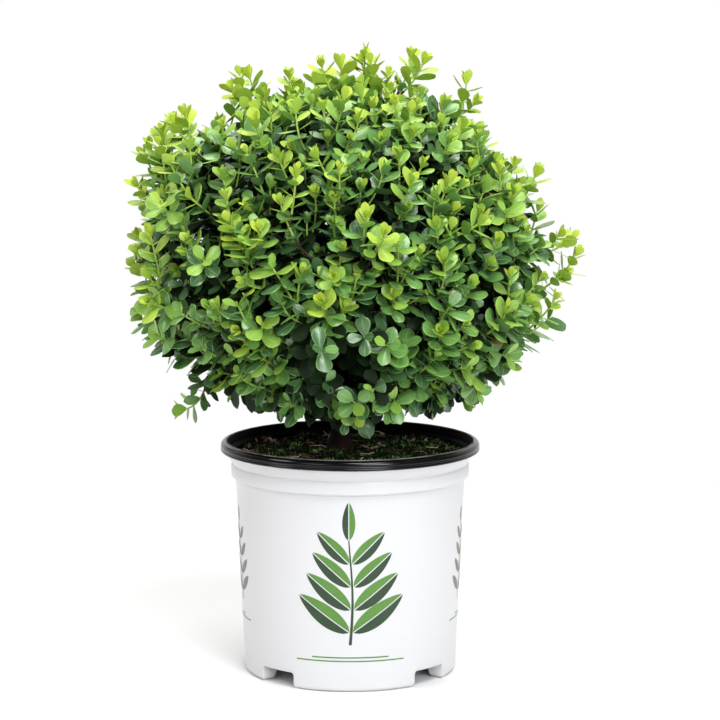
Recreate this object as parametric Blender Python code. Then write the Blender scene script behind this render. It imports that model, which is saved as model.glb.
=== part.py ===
"""A box shrub grown as a loose ball, standing in the round plastic pot it was raised in.

Metres, +Z up. The origin is the middle of the pot's foot circle, on the surface that it stands on.
Bearings turn about +Z: 0 is the front (-Y), 90 the right (+X), 180 the back and 270 the left.
The trunk rises from the potting mix to a low fork. One bough runs from it into each mass of
foliage, and each mass grows in its own share of the crown, a cone that opens out from the fork.
"""

import math
import random

import bmesh
import bpy
from mathutils import Matrix, Vector, noise

MM = 0.001
CLEARANCE = 0.3 * MM  # between two solids that meet
SEED = 27

# ---- pot: radii and heights of its turned profile -----------------------------------------------
POT_SIDES = 32  # also of the rim and the mix, so that their flats run parallel
POT_FOOT_RADIUS = 94.0 * MM
POT_CORNER = 4.0 * MM  # round between wall and foot
POT_SHOULDER_RADIUS = 101.5 * MM
POT_SHOULDER_HEIGHT = 171.5 * MM
POT_NECK_RADIUS = 105.2 * MM  # the narrow places below and above the bead
POT_STEP_HEIGHT = 176.0 * MM
POT_BEAD_RADIUS = 106.5 * MM
POT_BEAD_HEIGHT = 182.0 * MM
POT_NECK_HEIGHT = 187.6 * MM
POT_FLARE_RADIUS = 110.2 * MM
POT_FLARE_HEIGHT = 195.2 * MM
POT_WALL = 1.6 * MM
FOOT_LAND = 4.0 * MM  # width of the flat ring that the pot stands on
FLOOR_HEIGHT = 14.0 * MM  # underside of the raised floor
FLOOR_THICKNESS = 2.0 * MM
FLOOR_TOP = FLOOR_HEIGHT + FLOOR_THICKNESS
FLOOR_RADIUS = 79.0 * MM  # where the floor meets the sloping inside of the foot
NOTCH_COUNT = 4
NOTCH_FIRST_BEARING = 47.5
NOTCH_HALF_ANGLE = 11.2
NOTCH_SPLAY = 3.0  # degrees by which each side of a notch spreads from the ground to its top
DRAIN_RADIUS = 6.0 * MM
DRAIN_CIRCLE_RADIUS = 66.0 * MM

# ---- rim and lining -----------------------------------------------------------------------------
RIM_OUTER_RADIUS = 114.5 * MM
RIM_INNER_RADIUS = 107.0 * MM
RIM_TOP = 204.5 * MM
RIM_UNDERSIDE = 196.0 * MM
RIM_GROOVE = 0.5 * MM  # depth of the groove round the rolled edge
LINING_RADIUS = 103.0 * MM
LINING_WALL = 1.0 * MM
LINING_FOOT = 177.0 * MM
LINING_INSIDE = LINING_RADIUS - LINING_WALL

# ---- potting mix --------------------------------------------------------------------------------
MIX_EDGE_HEIGHT = 193.0 * MM
MIX_RISE = 3.5 * MM  # from the edge to the middle
MIX_TOP = MIX_EDGE_HEIGHT + MIX_RISE
MIX_BUMP = 2.2 * MM
MIX_RINGS = 5
SEAT_RADIUS = 27.0 * MM  # level patch round the trunk's foot

# ---- trunk and boughs ---------------------------------------------------------------------------
TRUNK_SIDES = 10
TRUNK_RINGS = 11
TRUNK_FOOT_X = -10.0 * MM  # the trunk leans from here to the fork
TRUNK_SWAY = 2.0 * MM
TRUNK_BOTTOM = MIX_TOP + CLEARANCE
TRUNK_TOP = 276.0 * MM
TRUNK_RADIUS = 9.0 * MM
TRUNK_TOP_RADIUS = 6.4 * MM
FLARE_RADIUS = 15.0 * MM
FLARE_HEIGHT = 16.0 * MM
FORK = Vector((-3.0 * MM, 0.0, 262.0 * MM))  # every mass is seen from here
BOUGH_SIDES = 6
BOUGH_STEPS = 6
BOUGH_ROOT_RADIUS = 3.8 * MM
BOUGH_TIP_RADIUS = 2.5 * MM
BOUGH_SAG = 0.06  # of its length, below the straight line
BOUGH_SWAY = 2.0 * MM
TOP_BOUGH_START = TRUNK_TOP - 3.0 * MM
UPPER_BOUGH_START = 254.0 * MM
LOWER_BOUGH_START = 221.0 * MM
BOUGH_START_STEP = 8.0 * MM  # neighbours leave the trunk at three heights
LIMB_ROOM = 54.0 * MM  # radius round the fork that is kept free of foliage

# ---- crown --------------------------------------------------------------------------------------
CROWN_CENTRE = Vector((1.0 * MM, 0.0, 368.0 * MM))
CROWN_HALF_WIDTH = 184.0 * MM
CROWN_HALF_HEIGHT = 162.0 * MM
CROWN_FLOOR = 208.0 * MM  # nothing green hangs below this
BLEND = 9.0  # how sharply the outline follows one mass and not its neighbours
CELL_MARGIN = 0.5 * MM  # from the sides of a mass's cone
TRUNK_ROOM = 27.0 * MM  # radius round the trunk that is kept free of foliage
LOW_ELEVATION = 20.0  # masses seen lower than this from the fork hang close to the potting mix

# Each ring: elevation of its masses seen from the fork, first bearing, then names and fullness.
RINGS = (
    (84.0, 30.0, (("top", 1.04),)),
    (
        42.0,
        270.0,
        (("upper_left", 1.15), ("upper_front", 1.0), ("upper_right", 0.96), ("upper_back", 1.02)),
    ),
    (
        0.0,
        270.0,
        (
            ("lower_left", 1.10),
            ("lower_front_left", 0.99),
            ("lower_front_right", 0.98),
            ("lower_right", 1.07),
            ("lower_back_right", 1.0),
            ("lower_back_left", 1.03),
        ),
    ),
)

# Shoots that stand out of the ball: bearing and elevation seen from its centre, and reach.
LEADERS = (
    (90, 87, 177 * MM),
    (80, 73, 188 * MM),
    (300, 80, 177 * MM),
    (262, 60, 188 * MM),
    (98, 56, 190 * MM),
    (275, 40, 196 * MM),
    (262, 25, 212 * MM),
    (268, 4, 194 * MM),
    (92, 4, 200 * MM),
    (84, 24, 184 * MM),
    (262, -40, 207 * MM),
    (97, -19, 194 * MM),
    (86, -47, 171 * MM),
    (272, -17, 199 * MM),
    (8, 10, 198 * MM),
    (352, -20, 188 * MM),
    (184, 6, 196 * MM),
    (20, 52, 180 * MM),
    (200, 58, 184 * MM),
)
LEADER_GAP = 13.0  # degrees round a leader where no other shoot ends

# ---- foliage ------------------------------------------------------------------------------------
SHOOT_TIPS = 124  # spread evenly over the ball before the pot's share is left out
TIP_JITTER = 0.07
TIP_DEPTHS = (0.95, 1.0)  # shares of the way out to the outline
SHOOT_PAIRS = 2
LEADER_PAIRS = 3
TIP_LEAVES = 24.0 * MM  # how far the last leaves reach past the end of their shoot
SHOOT_RADIUS = 1.7 * MM
SHOOT_TIP_RADIUS = 1.0 * MM
SHOOT_STEPS = 3
SHOOT_SLANT = 0.75  # how far back along the stem a shoot starts, per unit of its distance from it
SHOOT_SAG = 0.07  # of its length: the shoot's end turns up towards the sky
STEM_REACH = 0.62  # share of the way to the outline where a mass's stem ends
STEM_TIP_RADIUS = 1.8 * MM
PULL = 0.13  # a shoot that leaves its mass's space has its tip drawn in by this share
PULL_TRIES = 4

LEAF_LENGTH = 40.0 * MM
LEAF_WIDTH = 25.0 * MM
LEAF_THICKNESS = 2.2 * MM
LEAF_WIDEST = 0.56  # share of its length
LEAF_CUP = 1.5 * MM
LEAF_CURL = 4.0 * MM
LEAF_ROOT = 0.6 * MM  # sunk past the shoot's middle line
LEAF_SPREAD = 58.0  # degrees between shoot and leaf
TIP_SPREAD = 0.55  # share of that spread for the last pair, and its share of the size
TIP_SIZE = 0.86
LEAF_SPACING = 20.0 * MM  # along the shoot, from one pair to the next
FIRST_PAIR = 3.0 * MM  # back from the shoot's end
# A leaf that would enter a neighbour's space is tried again smaller, or nearer to its shoot.
LEAF_TRIES = ((1.0, 1.0), (0.82, 1.0), (0.95, 0.6), (0.7, 0.8), (0.65, 0.45))  # size, spread

CORE_DEPTH = 31.0 * MM  # from the outline in to where the dense inside of a mass ends
LOW_CORE_DEPTH = 20.0 * MM  # the same for the lower ring
CORE_MARGIN = 3.0 * MM  # from the sides of the cone
CORE_MIDDLE = 0.6  # share of the stem
CORE_STEP = 2.0 * MM
CORE_WOBBLE = 0.1
HIDDEN_DEPTH = 8.0 * MM  # a leaf this far inside the core is left out

GOLDEN_ANGLE = math.pi * (3.0 - math.sqrt(5.0))
UP = Vector((0.0, 0.0, 1.0))


# ---- small helpers ------------------------------------------------------------------------------
def clear_scene():
    for obj in list(bpy.data.objects):
        bpy.data.objects.remove(obj, do_unlink=True)


def material(name, colour, roughness):
    made = bpy.data.materials.new(name)
    made.use_nodes = True
    shader = made.node_tree.nodes["Principled BSDF"]
    shader.inputs["Base Color"].default_value = (*colour, 1.0)
    shader.inputs["Roughness"].default_value = roughness
    return made


def mesh_from(name, bm, finish):
    """Turns a bmesh into a mesh, with its faces pointing outwards."""
    bmesh.ops.recalc_face_normals(bm, faces=bm.faces)
    mesh = bpy.data.meshes.new(name)
    bm.to_mesh(mesh)
    bm.free()
    if finish:
        mesh.materials.append(finish)
    return mesh


def add_object(name, mesh, collection=None):
    obj = bpy.data.objects.new(name, mesh)
    (collection or bpy.context.scene.collection).objects.link(obj)
    return obj


def shade_round(obj, angle=35.0):
    obj.data.shade_smooth()
    obj.data.set_sharp_from_angle(angle=math.radians(angle))


def cut(obj, cutters):
    """Takes the cutters away from obj. They stay in the file as hidden helpers."""
    for cutter in cutters:
        cutter.hide_render = True
        cutter.display_type = "WIRE"
        modifier = obj.modifiers.new("cut " + cutter.name, "BOOLEAN")
        modifier.operation = "DIFFERENCE"
        modifier.solver = "EXACT"
        modifier.object = cutter


def bearing_vector(bearing, elevation=0.0):
    b, e = math.radians(bearing), math.radians(elevation)
    return Vector((math.sin(b) * math.cos(e), -math.cos(b) * math.cos(e), math.sin(e)))


def arc(centre_r, centre_z, radius, start, end, steps):
    """Points (r, z) on a round part of a profile, angles in degrees from +r towards +z."""
    angles = [math.radians(start + (end - start) * i / steps) for i in range(steps + 1)]
    return [(centre_r + radius * math.cos(a), centre_z + radius * math.sin(a)) for a in angles]


def turned(profile):
    """A ring of points (r, z) turned about Z. A profile that starts on the axis also ends on it."""
    bm = bmesh.new()
    verts = [bm.verts.new((r, 0.0, z)) for r, z in profile]
    on_axis = profile[0][0] == 0.0
    pairs = zip(verts, verts[1:] if on_axis else verts[1:] + verts[:1])
    edges = [bm.edges.new(pair) for pair in pairs]
    bmesh.ops.spin(
        bm, geom=verts + edges, cent=(0, 0, 0), axis=UP, angle=2 * math.pi, steps=POT_SIDES
    )
    bmesh.ops.remove_doubles(bm, verts=bm.verts, dist=0.001 * MM)
    return bm


def across(direction):
    """Two unit vectors square to a direction and to each other."""
    side = direction.cross(UP)
    if side.length < 0.05:
        side = direction.cross(Vector((1.0, 0.0, 0.0)))
    side.normalize()
    return side, side.cross(direction).normalized()


def limb(path, radii, sides):
    """A tapering round limb through the points of path, flat at both ends."""
    bm = bmesh.new()
    last = len(path) - 1
    rings = []
    side, _ = across((path[1] - path[0]).normalized())
    for i, (point, radius) in enumerate(zip(path, radii)):
        along = (path[min(i + 1, last)] - path[max(i - 1, 0)]).normalized()
        side = (side - along * side.dot(along)).normalized()
        up = side.cross(along)
        ring = []
        for k in range(sides):
            a = 2 * math.pi * k / sides
            ring.append(bm.verts.new(point + (side * math.cos(a) + up * math.sin(a)) * radius))
        rings.append(ring)
    for low, high in zip(rings, rings[1:]):
        for k in range(sides):
            bm.faces.new((low[k], low[(k + 1) % sides], high[(k + 1) % sides], high[k]))
    bm.faces.new(rings[0])
    bm.faces.new(rings[-1])
    return bm


def tapered(start_radius, end_radius, steps):
    return [start_radius + (end_radius - start_radius) * i / steps for i in range(steps + 1)]


def bend(start, control, end, steps):
    """Points along a smooth bend from start to end."""
    shares = [i / steps for i in range(steps + 1)]
    return [start * (1 - t) ** 2 + control * 2 * t * (1 - t) + end * t**2 for t in shares]


# ---- pot, rim and potting mix -------------------------------------------------------------------
def inner_radius(height):
    """Inside radius of the plain, tapering part of the pot's wall."""
    share = (height - POT_CORNER) / (POT_SHOULDER_HEIGHT - POT_CORNER)
    return POT_FOOT_RADIUS + (POT_SHOULDER_RADIUS - POT_FOOT_RADIUS) * share - POT_WALL


def pot_profile():
    foot_inner = POT_FOOT_RADIUS - POT_CORNER - FOOT_LAND
    return [
        (0.0, FLOOR_HEIGHT),
        (FLOOR_RADIUS, FLOOR_HEIGHT),
        (foot_inner, 0.0),
        *arc(POT_FOOT_RADIUS - POT_CORNER, POT_CORNER, POT_CORNER, -90, 0, 4),
        (POT_SHOULDER_RADIUS, POT_SHOULDER_HEIGHT),
        (POT_NECK_RADIUS, POT_STEP_HEIGHT),
        (POT_BEAD_RADIUS, POT_BEAD_HEIGHT),
        (POT_NECK_RADIUS, POT_NECK_HEIGHT),
        (POT_FLARE_RADIUS, POT_FLARE_HEIGHT),
        (POT_FLARE_RADIUS - 0.7 * POT_WALL, POT_FLARE_HEIGHT + 0.3 * POT_WALL),
        (POT_NECK_RADIUS - POT_WALL, POT_NECK_HEIGHT),
        (POT_BEAD_RADIUS - POT_WALL, POT_BEAD_HEIGHT),
        (POT_NECK_RADIUS - POT_WALL, POT_STEP_HEIGHT),
        (inner_radius(POT_SHOULDER_HEIGHT), POT_SHOULDER_HEIGHT),
        (inner_radius(FLOOR_TOP), FLOOR_TOP),
        (0.0, FLOOR_TOP),
    ]


def notch_cutter(bearing, index):
    """A wedge that opens the foot down to the ground, wider at its top than at its bottom."""
    bm = bmesh.new()
    near, far = FLOOR_RADIUS - POT_CORNER, POT_FOOT_RADIUS + POT_CORNER
    below = -POT_CORNER
    top = FLOOR_HEIGHT - 0.02 * MM
    rings = []
    for height, half in ((below, NOTCH_HALF_ANGLE - NOTCH_SPLAY), (top, NOTCH_HALF_ANGLE)):
        corners = ((near, -half), (far, -half), (far, half), (near, half))
        spots = [bearing_vector(bearing + turn) * radius for radius, turn in corners]
        rings.append([bm.verts.new((spot.x, spot.y, height)) for spot in spots])
    for k in range(4):
        bm.faces.new((rings[0][k], rings[0][(k + 1) % 4], rings[1][(k + 1) % 4], rings[1][k]))
    bm.faces.new(rings[0])
    bm.faces.new(rings[1])
    return add_object(f"notch_cutter_{index}", mesh_from("notch_cutter", bm, None))


def drain_cutter(bearing, index):
    bm = bmesh.new()
    depth = 4 * FLOOR_THICKNESS
    bmesh.ops.create_cone(
        bm, cap_ends=True, segments=12, radius1=DRAIN_RADIUS, radius2=DRAIN_RADIUS, depth=depth
    )
    cutter = add_object(f"drain_cutter_{index}", mesh_from("drain_cutter", bm, None))
    cutter.location = bearing_vector(bearing) * DRAIN_CIRCLE_RADIUS + UP * FLOOR_HEIGHT
    return cutter


def make_pot(finish):
    pot = add_object("pot", mesh_from("pot", turned(pot_profile()), finish))
    bearings = [NOTCH_FIRST_BEARING + 360.0 * i / NOTCH_COUNT for i in range(NOTCH_COUNT)]
    cut(pot, [notch_cutter(bearing, i) for i, bearing in enumerate(bearings)])
    cut(pot, [drain_cutter(bearing, i) for i, bearing in enumerate(bearings)])
    shade_round(pot)


def make_rim(finish):
    """The rolled edge over the top of the pot, and the band of lining that hangs inside it."""
    half_width = (RIM_OUTER_RADIUS - RIM_INNER_RADIUS) / 2
    middle = RIM_OUTER_RADIUS - half_width
    roll_height = RIM_TOP - half_width
    edge = 1.0 * MM
    profile = [
        (RIM_OUTER_RADIUS - edge, RIM_UNDERSIDE),
        (RIM_OUTER_RADIUS, RIM_UNDERSIDE + edge),
        (RIM_OUTER_RADIUS - RIM_GROOVE, (RIM_UNDERSIDE + roll_height) / 2),
        *arc(middle, roll_height, half_width, 0, 180, 6),
        (LINING_INSIDE, RIM_UNDERSIDE - edge),
        (LINING_INSIDE, LINING_FOOT),
        (LINING_RADIUS, LINING_FOOT),
        (LINING_RADIUS, RIM_UNDERSIDE - 3 * edge),
        (RIM_INNER_RADIUS + edge, RIM_UNDERSIDE + 0.2 * edge),
    ]
    rim = add_object("pot_rim", mesh_from("pot_rim", turned(profile), finish))
    shade_round(rim)


def make_potting_mix(finish):
    """The mix that fills the pot, crumbly on top and level where the trunk stands."""
    edge_radius = LINING_INSIDE - CLEARANCE
    span = edge_radius - SEAT_RADIUS
    profile = [
        (0.0, MIX_EDGE_HEIGHT),
        *[(SEAT_RADIUS + span * i / MIX_RINGS, MIX_EDGE_HEIGHT) for i in range(MIX_RINGS + 1)],
        (edge_radius, LINING_FOOT - 1.0 * MM),
        (inner_radius(POT_SHOULDER_HEIGHT) - CLEARANCE, POT_SHOULDER_HEIGHT),
        (inner_radius(FLOOR_TOP) - CLEARANCE, FLOOR_TOP + CLEARANCE),
        (0.0, FLOOR_TOP + CLEARANCE),
    ]
    bm = turned(profile)
    for vert in bm.verts:
        if vert.co.z < MIX_EDGE_HEIGHT - CLEARANCE:
            continue
        outward = max(0.0, (vert.co.xy.length - SEAT_RADIUS) / span)
        crumbs = noise.noise(vert.co * 55.0) + 0.6 * noise.noise(vert.co * 140.0)
        vert.co.z += MIX_RISE * (1.0 - outward**2)
        if 0.02 < outward < 0.98:
            vert.co.z += MIX_BUMP * crumbs
    add_object("potting_mix", mesh_from("potting_mix", bm, finish))


# ---- crown: its shares and its outline ----------------------------------------------------------
class Mass:
    """One mass of foliage: its name, the middle line of its cone, its fullness and its place."""

    def __init__(self, name, bearing, elevation, fullness, place):
        self.name = name
        self.axis = bearing_vector(bearing, elevation)
        self.elevation = elevation
        self.fullness = fullness
        self.place = place  # number in its ring
        self.sides = []  # inward normals of the cone's sides, all through the fork
        self.foot = FORK + self.axis * LIMB_ROOM
        far_out = FORK + self.axis * CROWN_HALF_WIDTH
        self.outward = (far_out - CROWN_CENTRE).normalized()

    def is_low(self):
        return self.elevation < LOW_ELEVATION

    def holds(self, point, margin=CELL_MARGIN):
        """True if the point is in this mass's cone, clear of trunk, boughs, pot and neighbours."""
        from_fork = point - FORK
        if any(from_fork.dot(side) < margin for side in self.sides):
            return False
        if from_fork.length < LIMB_ROOM + margin or point.z < CROWN_FLOOR:
            return False
        return point.z > FORK.z or from_fork.xy.length > TRUNK_ROOM


def make_masses():
    masses = []
    for elevation, first, members in RINGS:
        for i, (name, fullness) in enumerate(members):
            bearing = first + 360.0 * i / len(members)
            masses.append(Mass(name, bearing, elevation, fullness, i))
    for mass in masses:
        others = [other for other in masses if other is not mass]
        mass.sides = [(mass.axis - other.axis).normalized() for other in others]
    return masses


def crown_reach(direction, masses):
    """Distance from the crown's centre to its outline, fuller where a full mass grows."""
    ball = 1.0 / math.hypot(
        direction.xy.length / CROWN_HALF_WIDTH, direction.z / CROWN_HALF_HEIGHT
    )
    weights = [math.exp(BLEND * direction.dot(mass.outward)) for mass in masses]
    full = sum(weight * mass.fullness for weight, mass in zip(weights, masses))
    return ball * full / sum(weights)


def shoot_tips(masses):
    """Ends of the shoots and their pairs of leaves: leaders, then an even spread over the ball."""
    chance = random.Random(SEED)
    leaders = [bearing_vector(bearing, elevation) for bearing, elevation, _ in LEADERS]
    reaches = [reach - TIP_LEAVES for _, _, reach in LEADERS]
    tips = [(CROWN_CENTRE + d * reach, LEADER_PAIRS) for d, reach in zip(leaders, reaches)]
    for i in range(SHOOT_TIPS):
        height = 1.0 - (2.0 * i + 1.0) / SHOOT_TIPS
        ring = math.sqrt(1.0 - height * height)
        turn = GOLDEN_ANGLE * i
        direction = Vector((ring * math.sin(turn), -ring * math.cos(turn), height))
        direction += Vector([chance.uniform(-TIP_JITTER, TIP_JITTER) for _ in range(3)])
        direction.normalize()
        depth = chance.uniform(*TIP_DEPTHS)
        if any(direction.angle(leader) < math.radians(LEADER_GAP) for leader in leaders):
            continue
        reach = crown_reach(direction, masses) * depth - TIP_LEAVES
        tips.append((CROWN_CENTRE + direction * reach, SHOOT_PAIRS))
    return tips


def tips_by_mass(masses):
    """Deals the shoots out to the masses, each to the one whose middle line it is nearest to."""
    dealt = {mass.name: [] for mass in masses}
    for tip, pairs in shoot_tips(masses):
        from_fork = (tip - FORK).normalized()
        nearest = max(masses, key=lambda mass: from_fork.dot(mass.axis))
        dealt[nearest.name].append((tip, pairs))
    return dealt


# ---- trunk and boughs ---------------------------------------------------------------------------
def trunk_axis(height):
    """Middle of the trunk at a height: it leans, and sways a little towards the back."""
    share = (height - MIX_TOP) / (FORK.z - MIX_TOP)
    sway = TRUNK_SWAY * math.sin(math.pi * min(1.0, max(0.0, share)))
    return Vector((TRUNK_FOOT_X + (FORK.x - TRUNK_FOOT_X) * share, sway, height))


def trunk_radius(height):
    share = (height - TRUNK_BOTTOM) / (TRUNK_TOP - TRUNK_BOTTOM)
    near_foot = max(0.0, 1.0 - (height - TRUNK_BOTTOM) / FLARE_HEIGHT)
    flare = (FLARE_RADIUS - TRUNK_RADIUS) * near_foot**2
    return TRUNK_RADIUS + (TRUNK_TOP_RADIUS - TRUNK_RADIUS) * share + flare


def trunk_bmesh(grown=0.0):
    """The trunk, or the same shape grown on all sides, as a cutter for what meets it."""
    shares = [(i / TRUNK_RINGS) ** 1.3 for i in range(TRUNK_RINGS + 1)]
    heights = [TRUNK_BOTTOM + (TRUNK_TOP - TRUNK_BOTTOM) * share for share in shares]
    path = [trunk_axis(height) for height in heights]
    path[-1].z += grown
    bm = limb(path, [trunk_radius(height) + grown for height in heights], TRUNK_SIDES)
    bm.verts.ensure_lookup_table()
    for vert in bm.verts[:TRUNK_SIDES]:
        vert.co.z = TRUNK_BOTTOM - grown  # the flat cut stays level
    return bm


def bough_start(mass):
    if mass.elevation > 80.0:
        return trunk_axis(TOP_BOUGH_START)
    lowest = LOWER_BOUGH_START if mass.is_low() else UPPER_BOUGH_START
    return trunk_axis(lowest + BOUGH_START_STEP * (mass.place * 2 % 3))


def bough_path(mass):
    """From the trunk's middle line out to the foot of the mass, which it meets square."""
    start = bough_start(mass)
    end = mass.foot - mass.axis * CLEARANCE
    drop = UP * (end - start).length * BOUGH_SAG
    control = start.lerp(end, 0.5) - mass.axis.cross(UP) * BOUGH_SWAY - drop
    path = bend(start, control, end, BOUGH_STEPS)
    path[-2] = end - mass.axis * 0.1 * LIMB_ROOM
    return path


def make_trunk(finish):
    trunk = add_object("trunk", mesh_from("trunk", trunk_bmesh(), finish))
    shade_round(trunk, 60.0)


def make_bough(mass, finish, trunk_cutter):
    name = "bough_" + mass.name
    radii = tapered(BOUGH_ROOT_RADIUS, BOUGH_TIP_RADIUS, BOUGH_STEPS)
    bough = add_object(name, mesh_from(name, limb(bough_path(mass), radii, BOUGH_SIDES), finish))
    cut(bough, [trunk_cutter])
    shade_round(bough, 60.0)


# ---- foliage ------------------------------------------------------------------------------------
def stem_end(mass, masses):
    outline = CROWN_CENTRE + mass.outward * crown_reach(mass.outward, masses)
    return mass.foot.lerp(outline, STEM_REACH)


def in_core(point, mass, masses, deeper=0.0):
    """True if the point lies in the dense inside of a mass."""
    from_centre = point - CROWN_CENTRE
    depth = LOW_CORE_DEPTH if mass.is_low() else CORE_DEPTH
    limit = crown_reach(from_centre.normalized(), masses) - depth - deeper
    return from_centre.length < limit and mass.holds(point, CORE_MARGIN)


def core_bmesh(mass, masses):
    """The dense inside of a mass: a faceted lump that fills the middle of its share."""
    middle = mass.foot.lerp(stem_end(mass, masses), CORE_MIDDLE)
    bm = bmesh.new()
    bmesh.ops.create_icosphere(bm, subdivisions=2, radius=1.0)
    for vert in bm.verts:
        direction = vert.co.normalized()
        length = 2 * CORE_STEP
        while in_core(middle + direction * (length + CORE_STEP), mass, masses):
            length += CORE_STEP
        wobble = 1.0 + CORE_WOBBLE * (noise.noise(direction * 2.3 + mass.axis * 7.0) - 0.5)
        vert.co = middle + direction * length * wobble
    return bm


def leaf_mesh(finish):
    """One leaf, eight faces: base at the origin, tip along +Y, upper side towards +Z."""
    bm = bmesh.new()
    widest = LEAF_WIDEST * LEAF_LENGTH
    base = bm.verts.new((0.0, -LEAF_ROOT, 0.0))
    tip = bm.verts.new((0.0, LEAF_LENGTH, LEAF_CURL))
    left = bm.verts.new((-LEAF_WIDTH / 2, widest, LEAF_CUP))
    right = bm.verts.new((LEAF_WIDTH / 2, widest, LEAF_CUP))
    for side in (1.0, -1.0):
        middle = bm.verts.new((0.0, widest, side * LEAF_THICKNESS / 2))
        for first, second in ((base, right), (right, tip), (tip, left), (left, base)):
            bm.faces.new((first, second, middle))
    return mesh_from("leaf", bm, finish)


def leaf_place(base, along, upper, size):
    """Places a leaf: its base, the way it points, and the side that its upper face looks to."""
    turn = Matrix((along.cross(upper), along, upper)).transposed().to_4x4()
    return Matrix.Translation(base) @ turn @ Matrix.Scale(size, 4)


def leaf_shows(leaf, place, mass, masses):
    """True if a leaf keeps to its mass's share and reaches out of the dense inside."""
    corners = [place @ vert.co for vert in leaf.vertices]
    if not all(mass.holds(corner) for corner in corners):
        return False
    return not all(in_core(corner, mass, masses, HIDDEN_DEPTH) for corner in corners)


def shoot_path(tip, mass, masses):
    """A shoot leaves its mass's stem at a slant and turns up towards its tip."""
    stem = stem_end(mass, masses) - mass.foot
    along = stem.normalized()
    out = tip - mass.foot
    slant = SHOOT_SLANT * out.cross(along).length
    share = min(0.97, max(0.12, (out.dot(along) - slant) / stem.length))
    start = mass.foot + stem * share
    control = start.lerp(tip, 0.55) - UP * (tip - start).length * SHOOT_SAG
    return bend(start, control, tip, SHOOT_STEPS)


def fitting_path(tip, mass, masses):
    """A shoot's path that keeps to its mass's share, or None."""
    towards = mass.foot + mass.axis * (tip - mass.foot).length * 0.9
    for step in range(PULL_TRIES):
        path = shoot_path(tip.lerp(towards, PULL * step), mass, masses)
        if all(mass.holds(point, CELL_MARGIN + SHOOT_RADIUS) for point in path[1:]):
            return path
    return None


def point_back(path, distance):
    """The point on a path at a distance back from its end."""
    for outer, inner in zip(path[::-1], path[-2::-1]):
        step = (outer - inner).length
        if distance <= step:
            return outer.lerp(inner, distance / step)
        distance -= step
    return path[0]


def shoot_leaves(path, pairs, chance):
    """Leaves on a shoot, in crossed pairs. Each leaf is a list of places to try in turn."""
    length = sum((b - a).length for a, b in zip(path, path[1:]))
    along = (path[-1] - path[-2]).normalized()
    side, up = across(along)
    first_turn = chance.uniform(0.0, math.pi)
    leaves = []
    for pair in range(pairs):
        back = FIRST_PAIR + pair * LEAF_SPACING
        if back > 0.75 * length:
            break
        base = point_back(path, back)
        spread = LEAF_SPREAD * (TIP_SPREAD if pair == 0 else 1.0) + chance.uniform(-8.0, 8.0)
        turn = first_turn + pair * math.pi / 2
        outwards = side * math.cos(turn) + up * math.sin(turn)
        for out in (outwards, -outwards):
            size = chance.uniform(0.85, 1.1) * (TIP_SIZE if pair == 0 else 1.0)
            tries = []
            for size_share, spread_share in LEAF_TRIES:
                opened = math.radians(spread * spread_share)
                pointing = along * math.cos(opened) + out * math.sin(opened)
                upper = along * math.sin(opened) - out * math.cos(opened)
                tries.append(leaf_place(base, pointing, upper, size * size_share))
            leaves.append(tries)
    return leaves


def stem_bmesh(mass, masses):
    end = stem_end(mass, masses)
    straight = mass.foot + mass.axis * 0.15 * LIMB_ROOM  # the first stretch meets the bough square
    path = [mass.foot, straight, straight.lerp(end, 0.5), end]
    return limb(path, tapered(BOUGH_TIP_RADIUS, STEM_TIP_RADIUS, len(path) - 1), 5)


def join(obj, parts):
    """Fuses every object of a collection onto obj, then removes them."""
    union = obj.modifiers.new("join", "BOOLEAN")
    union.operation = "UNION"
    union.operand_type = "COLLECTION"
    union.collection = parts
    union.solver = "EXACT"
    bpy.context.view_layer.objects.active = obj
    bpy.ops.object.modifier_apply(modifier=union.name)
    for part in list(parts.objects):
        bpy.data.objects.remove(part, do_unlink=True)
    bpy.data.collections.remove(parts)


def make_foliage(mass, masses, tips, leaf, finish):
    """One mass: its dense core, its stem, and shoots with leaves, joined into one solid."""
    chance = random.Random(f"{SEED} {mass.name}")
    name = "foliage_" + mass.name
    parts = bpy.data.collections.new("parts of " + name)
    bpy.context.scene.collection.children.link(parts)
    foliage = add_object(name, mesh_from(name, core_bmesh(mass, masses), finish))
    add_object("stem", mesh_from("stem", stem_bmesh(mass, masses), finish), parts)
    radii = tapered(SHOOT_RADIUS, SHOOT_TIP_RADIUS, SHOOT_STEPS)
    for tip, pairs in tips:
        path = fitting_path(tip, mass, masses)
        if not path:
            continue
        add_object("shoot", mesh_from("shoot", limb(path, radii, 3), finish), parts)
        for tries in shoot_leaves(path, pairs, chance):
            place = next((p for p in tries if leaf_shows(leaf, p, mass, masses)), None)
            if place:
                add_object("leaf", leaf, parts).matrix_world = place
    join(foliage, parts)


# ---- the whole plant ----------------------------------------------------------------------------
def main():
    clear_scene()
    make_pot(material("white plastic", (0.86, 0.86, 0.88), 0.38))
    make_rim(material("black plastic", (0.012, 0.012, 0.015), 0.3))
    make_potting_mix(material("potting mix", (0.035, 0.024, 0.017), 0.95))

    bark = material("bark", (0.10, 0.055, 0.035), 0.85)
    leaf_green = material("leaf green", (0.10, 0.27, 0.035), 0.42)
    make_trunk(bark)
    trunk_cutter = add_object("trunk_cutter", mesh_from("cutter", trunk_bmesh(CLEARANCE), None))
    masses = make_masses()
    tips = tips_by_mass(masses)
    leaf = leaf_mesh(leaf_green)
    for mass in masses:
        make_bough(mass, bark, trunk_cutter)
        make_foliage(mass, masses, tips[mass.name], leaf, leaf_green)


main()
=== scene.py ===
import math
import random

import bmesh
import bpy
import numpy as np
from mathutils import Matrix, Vector, noise


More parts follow.
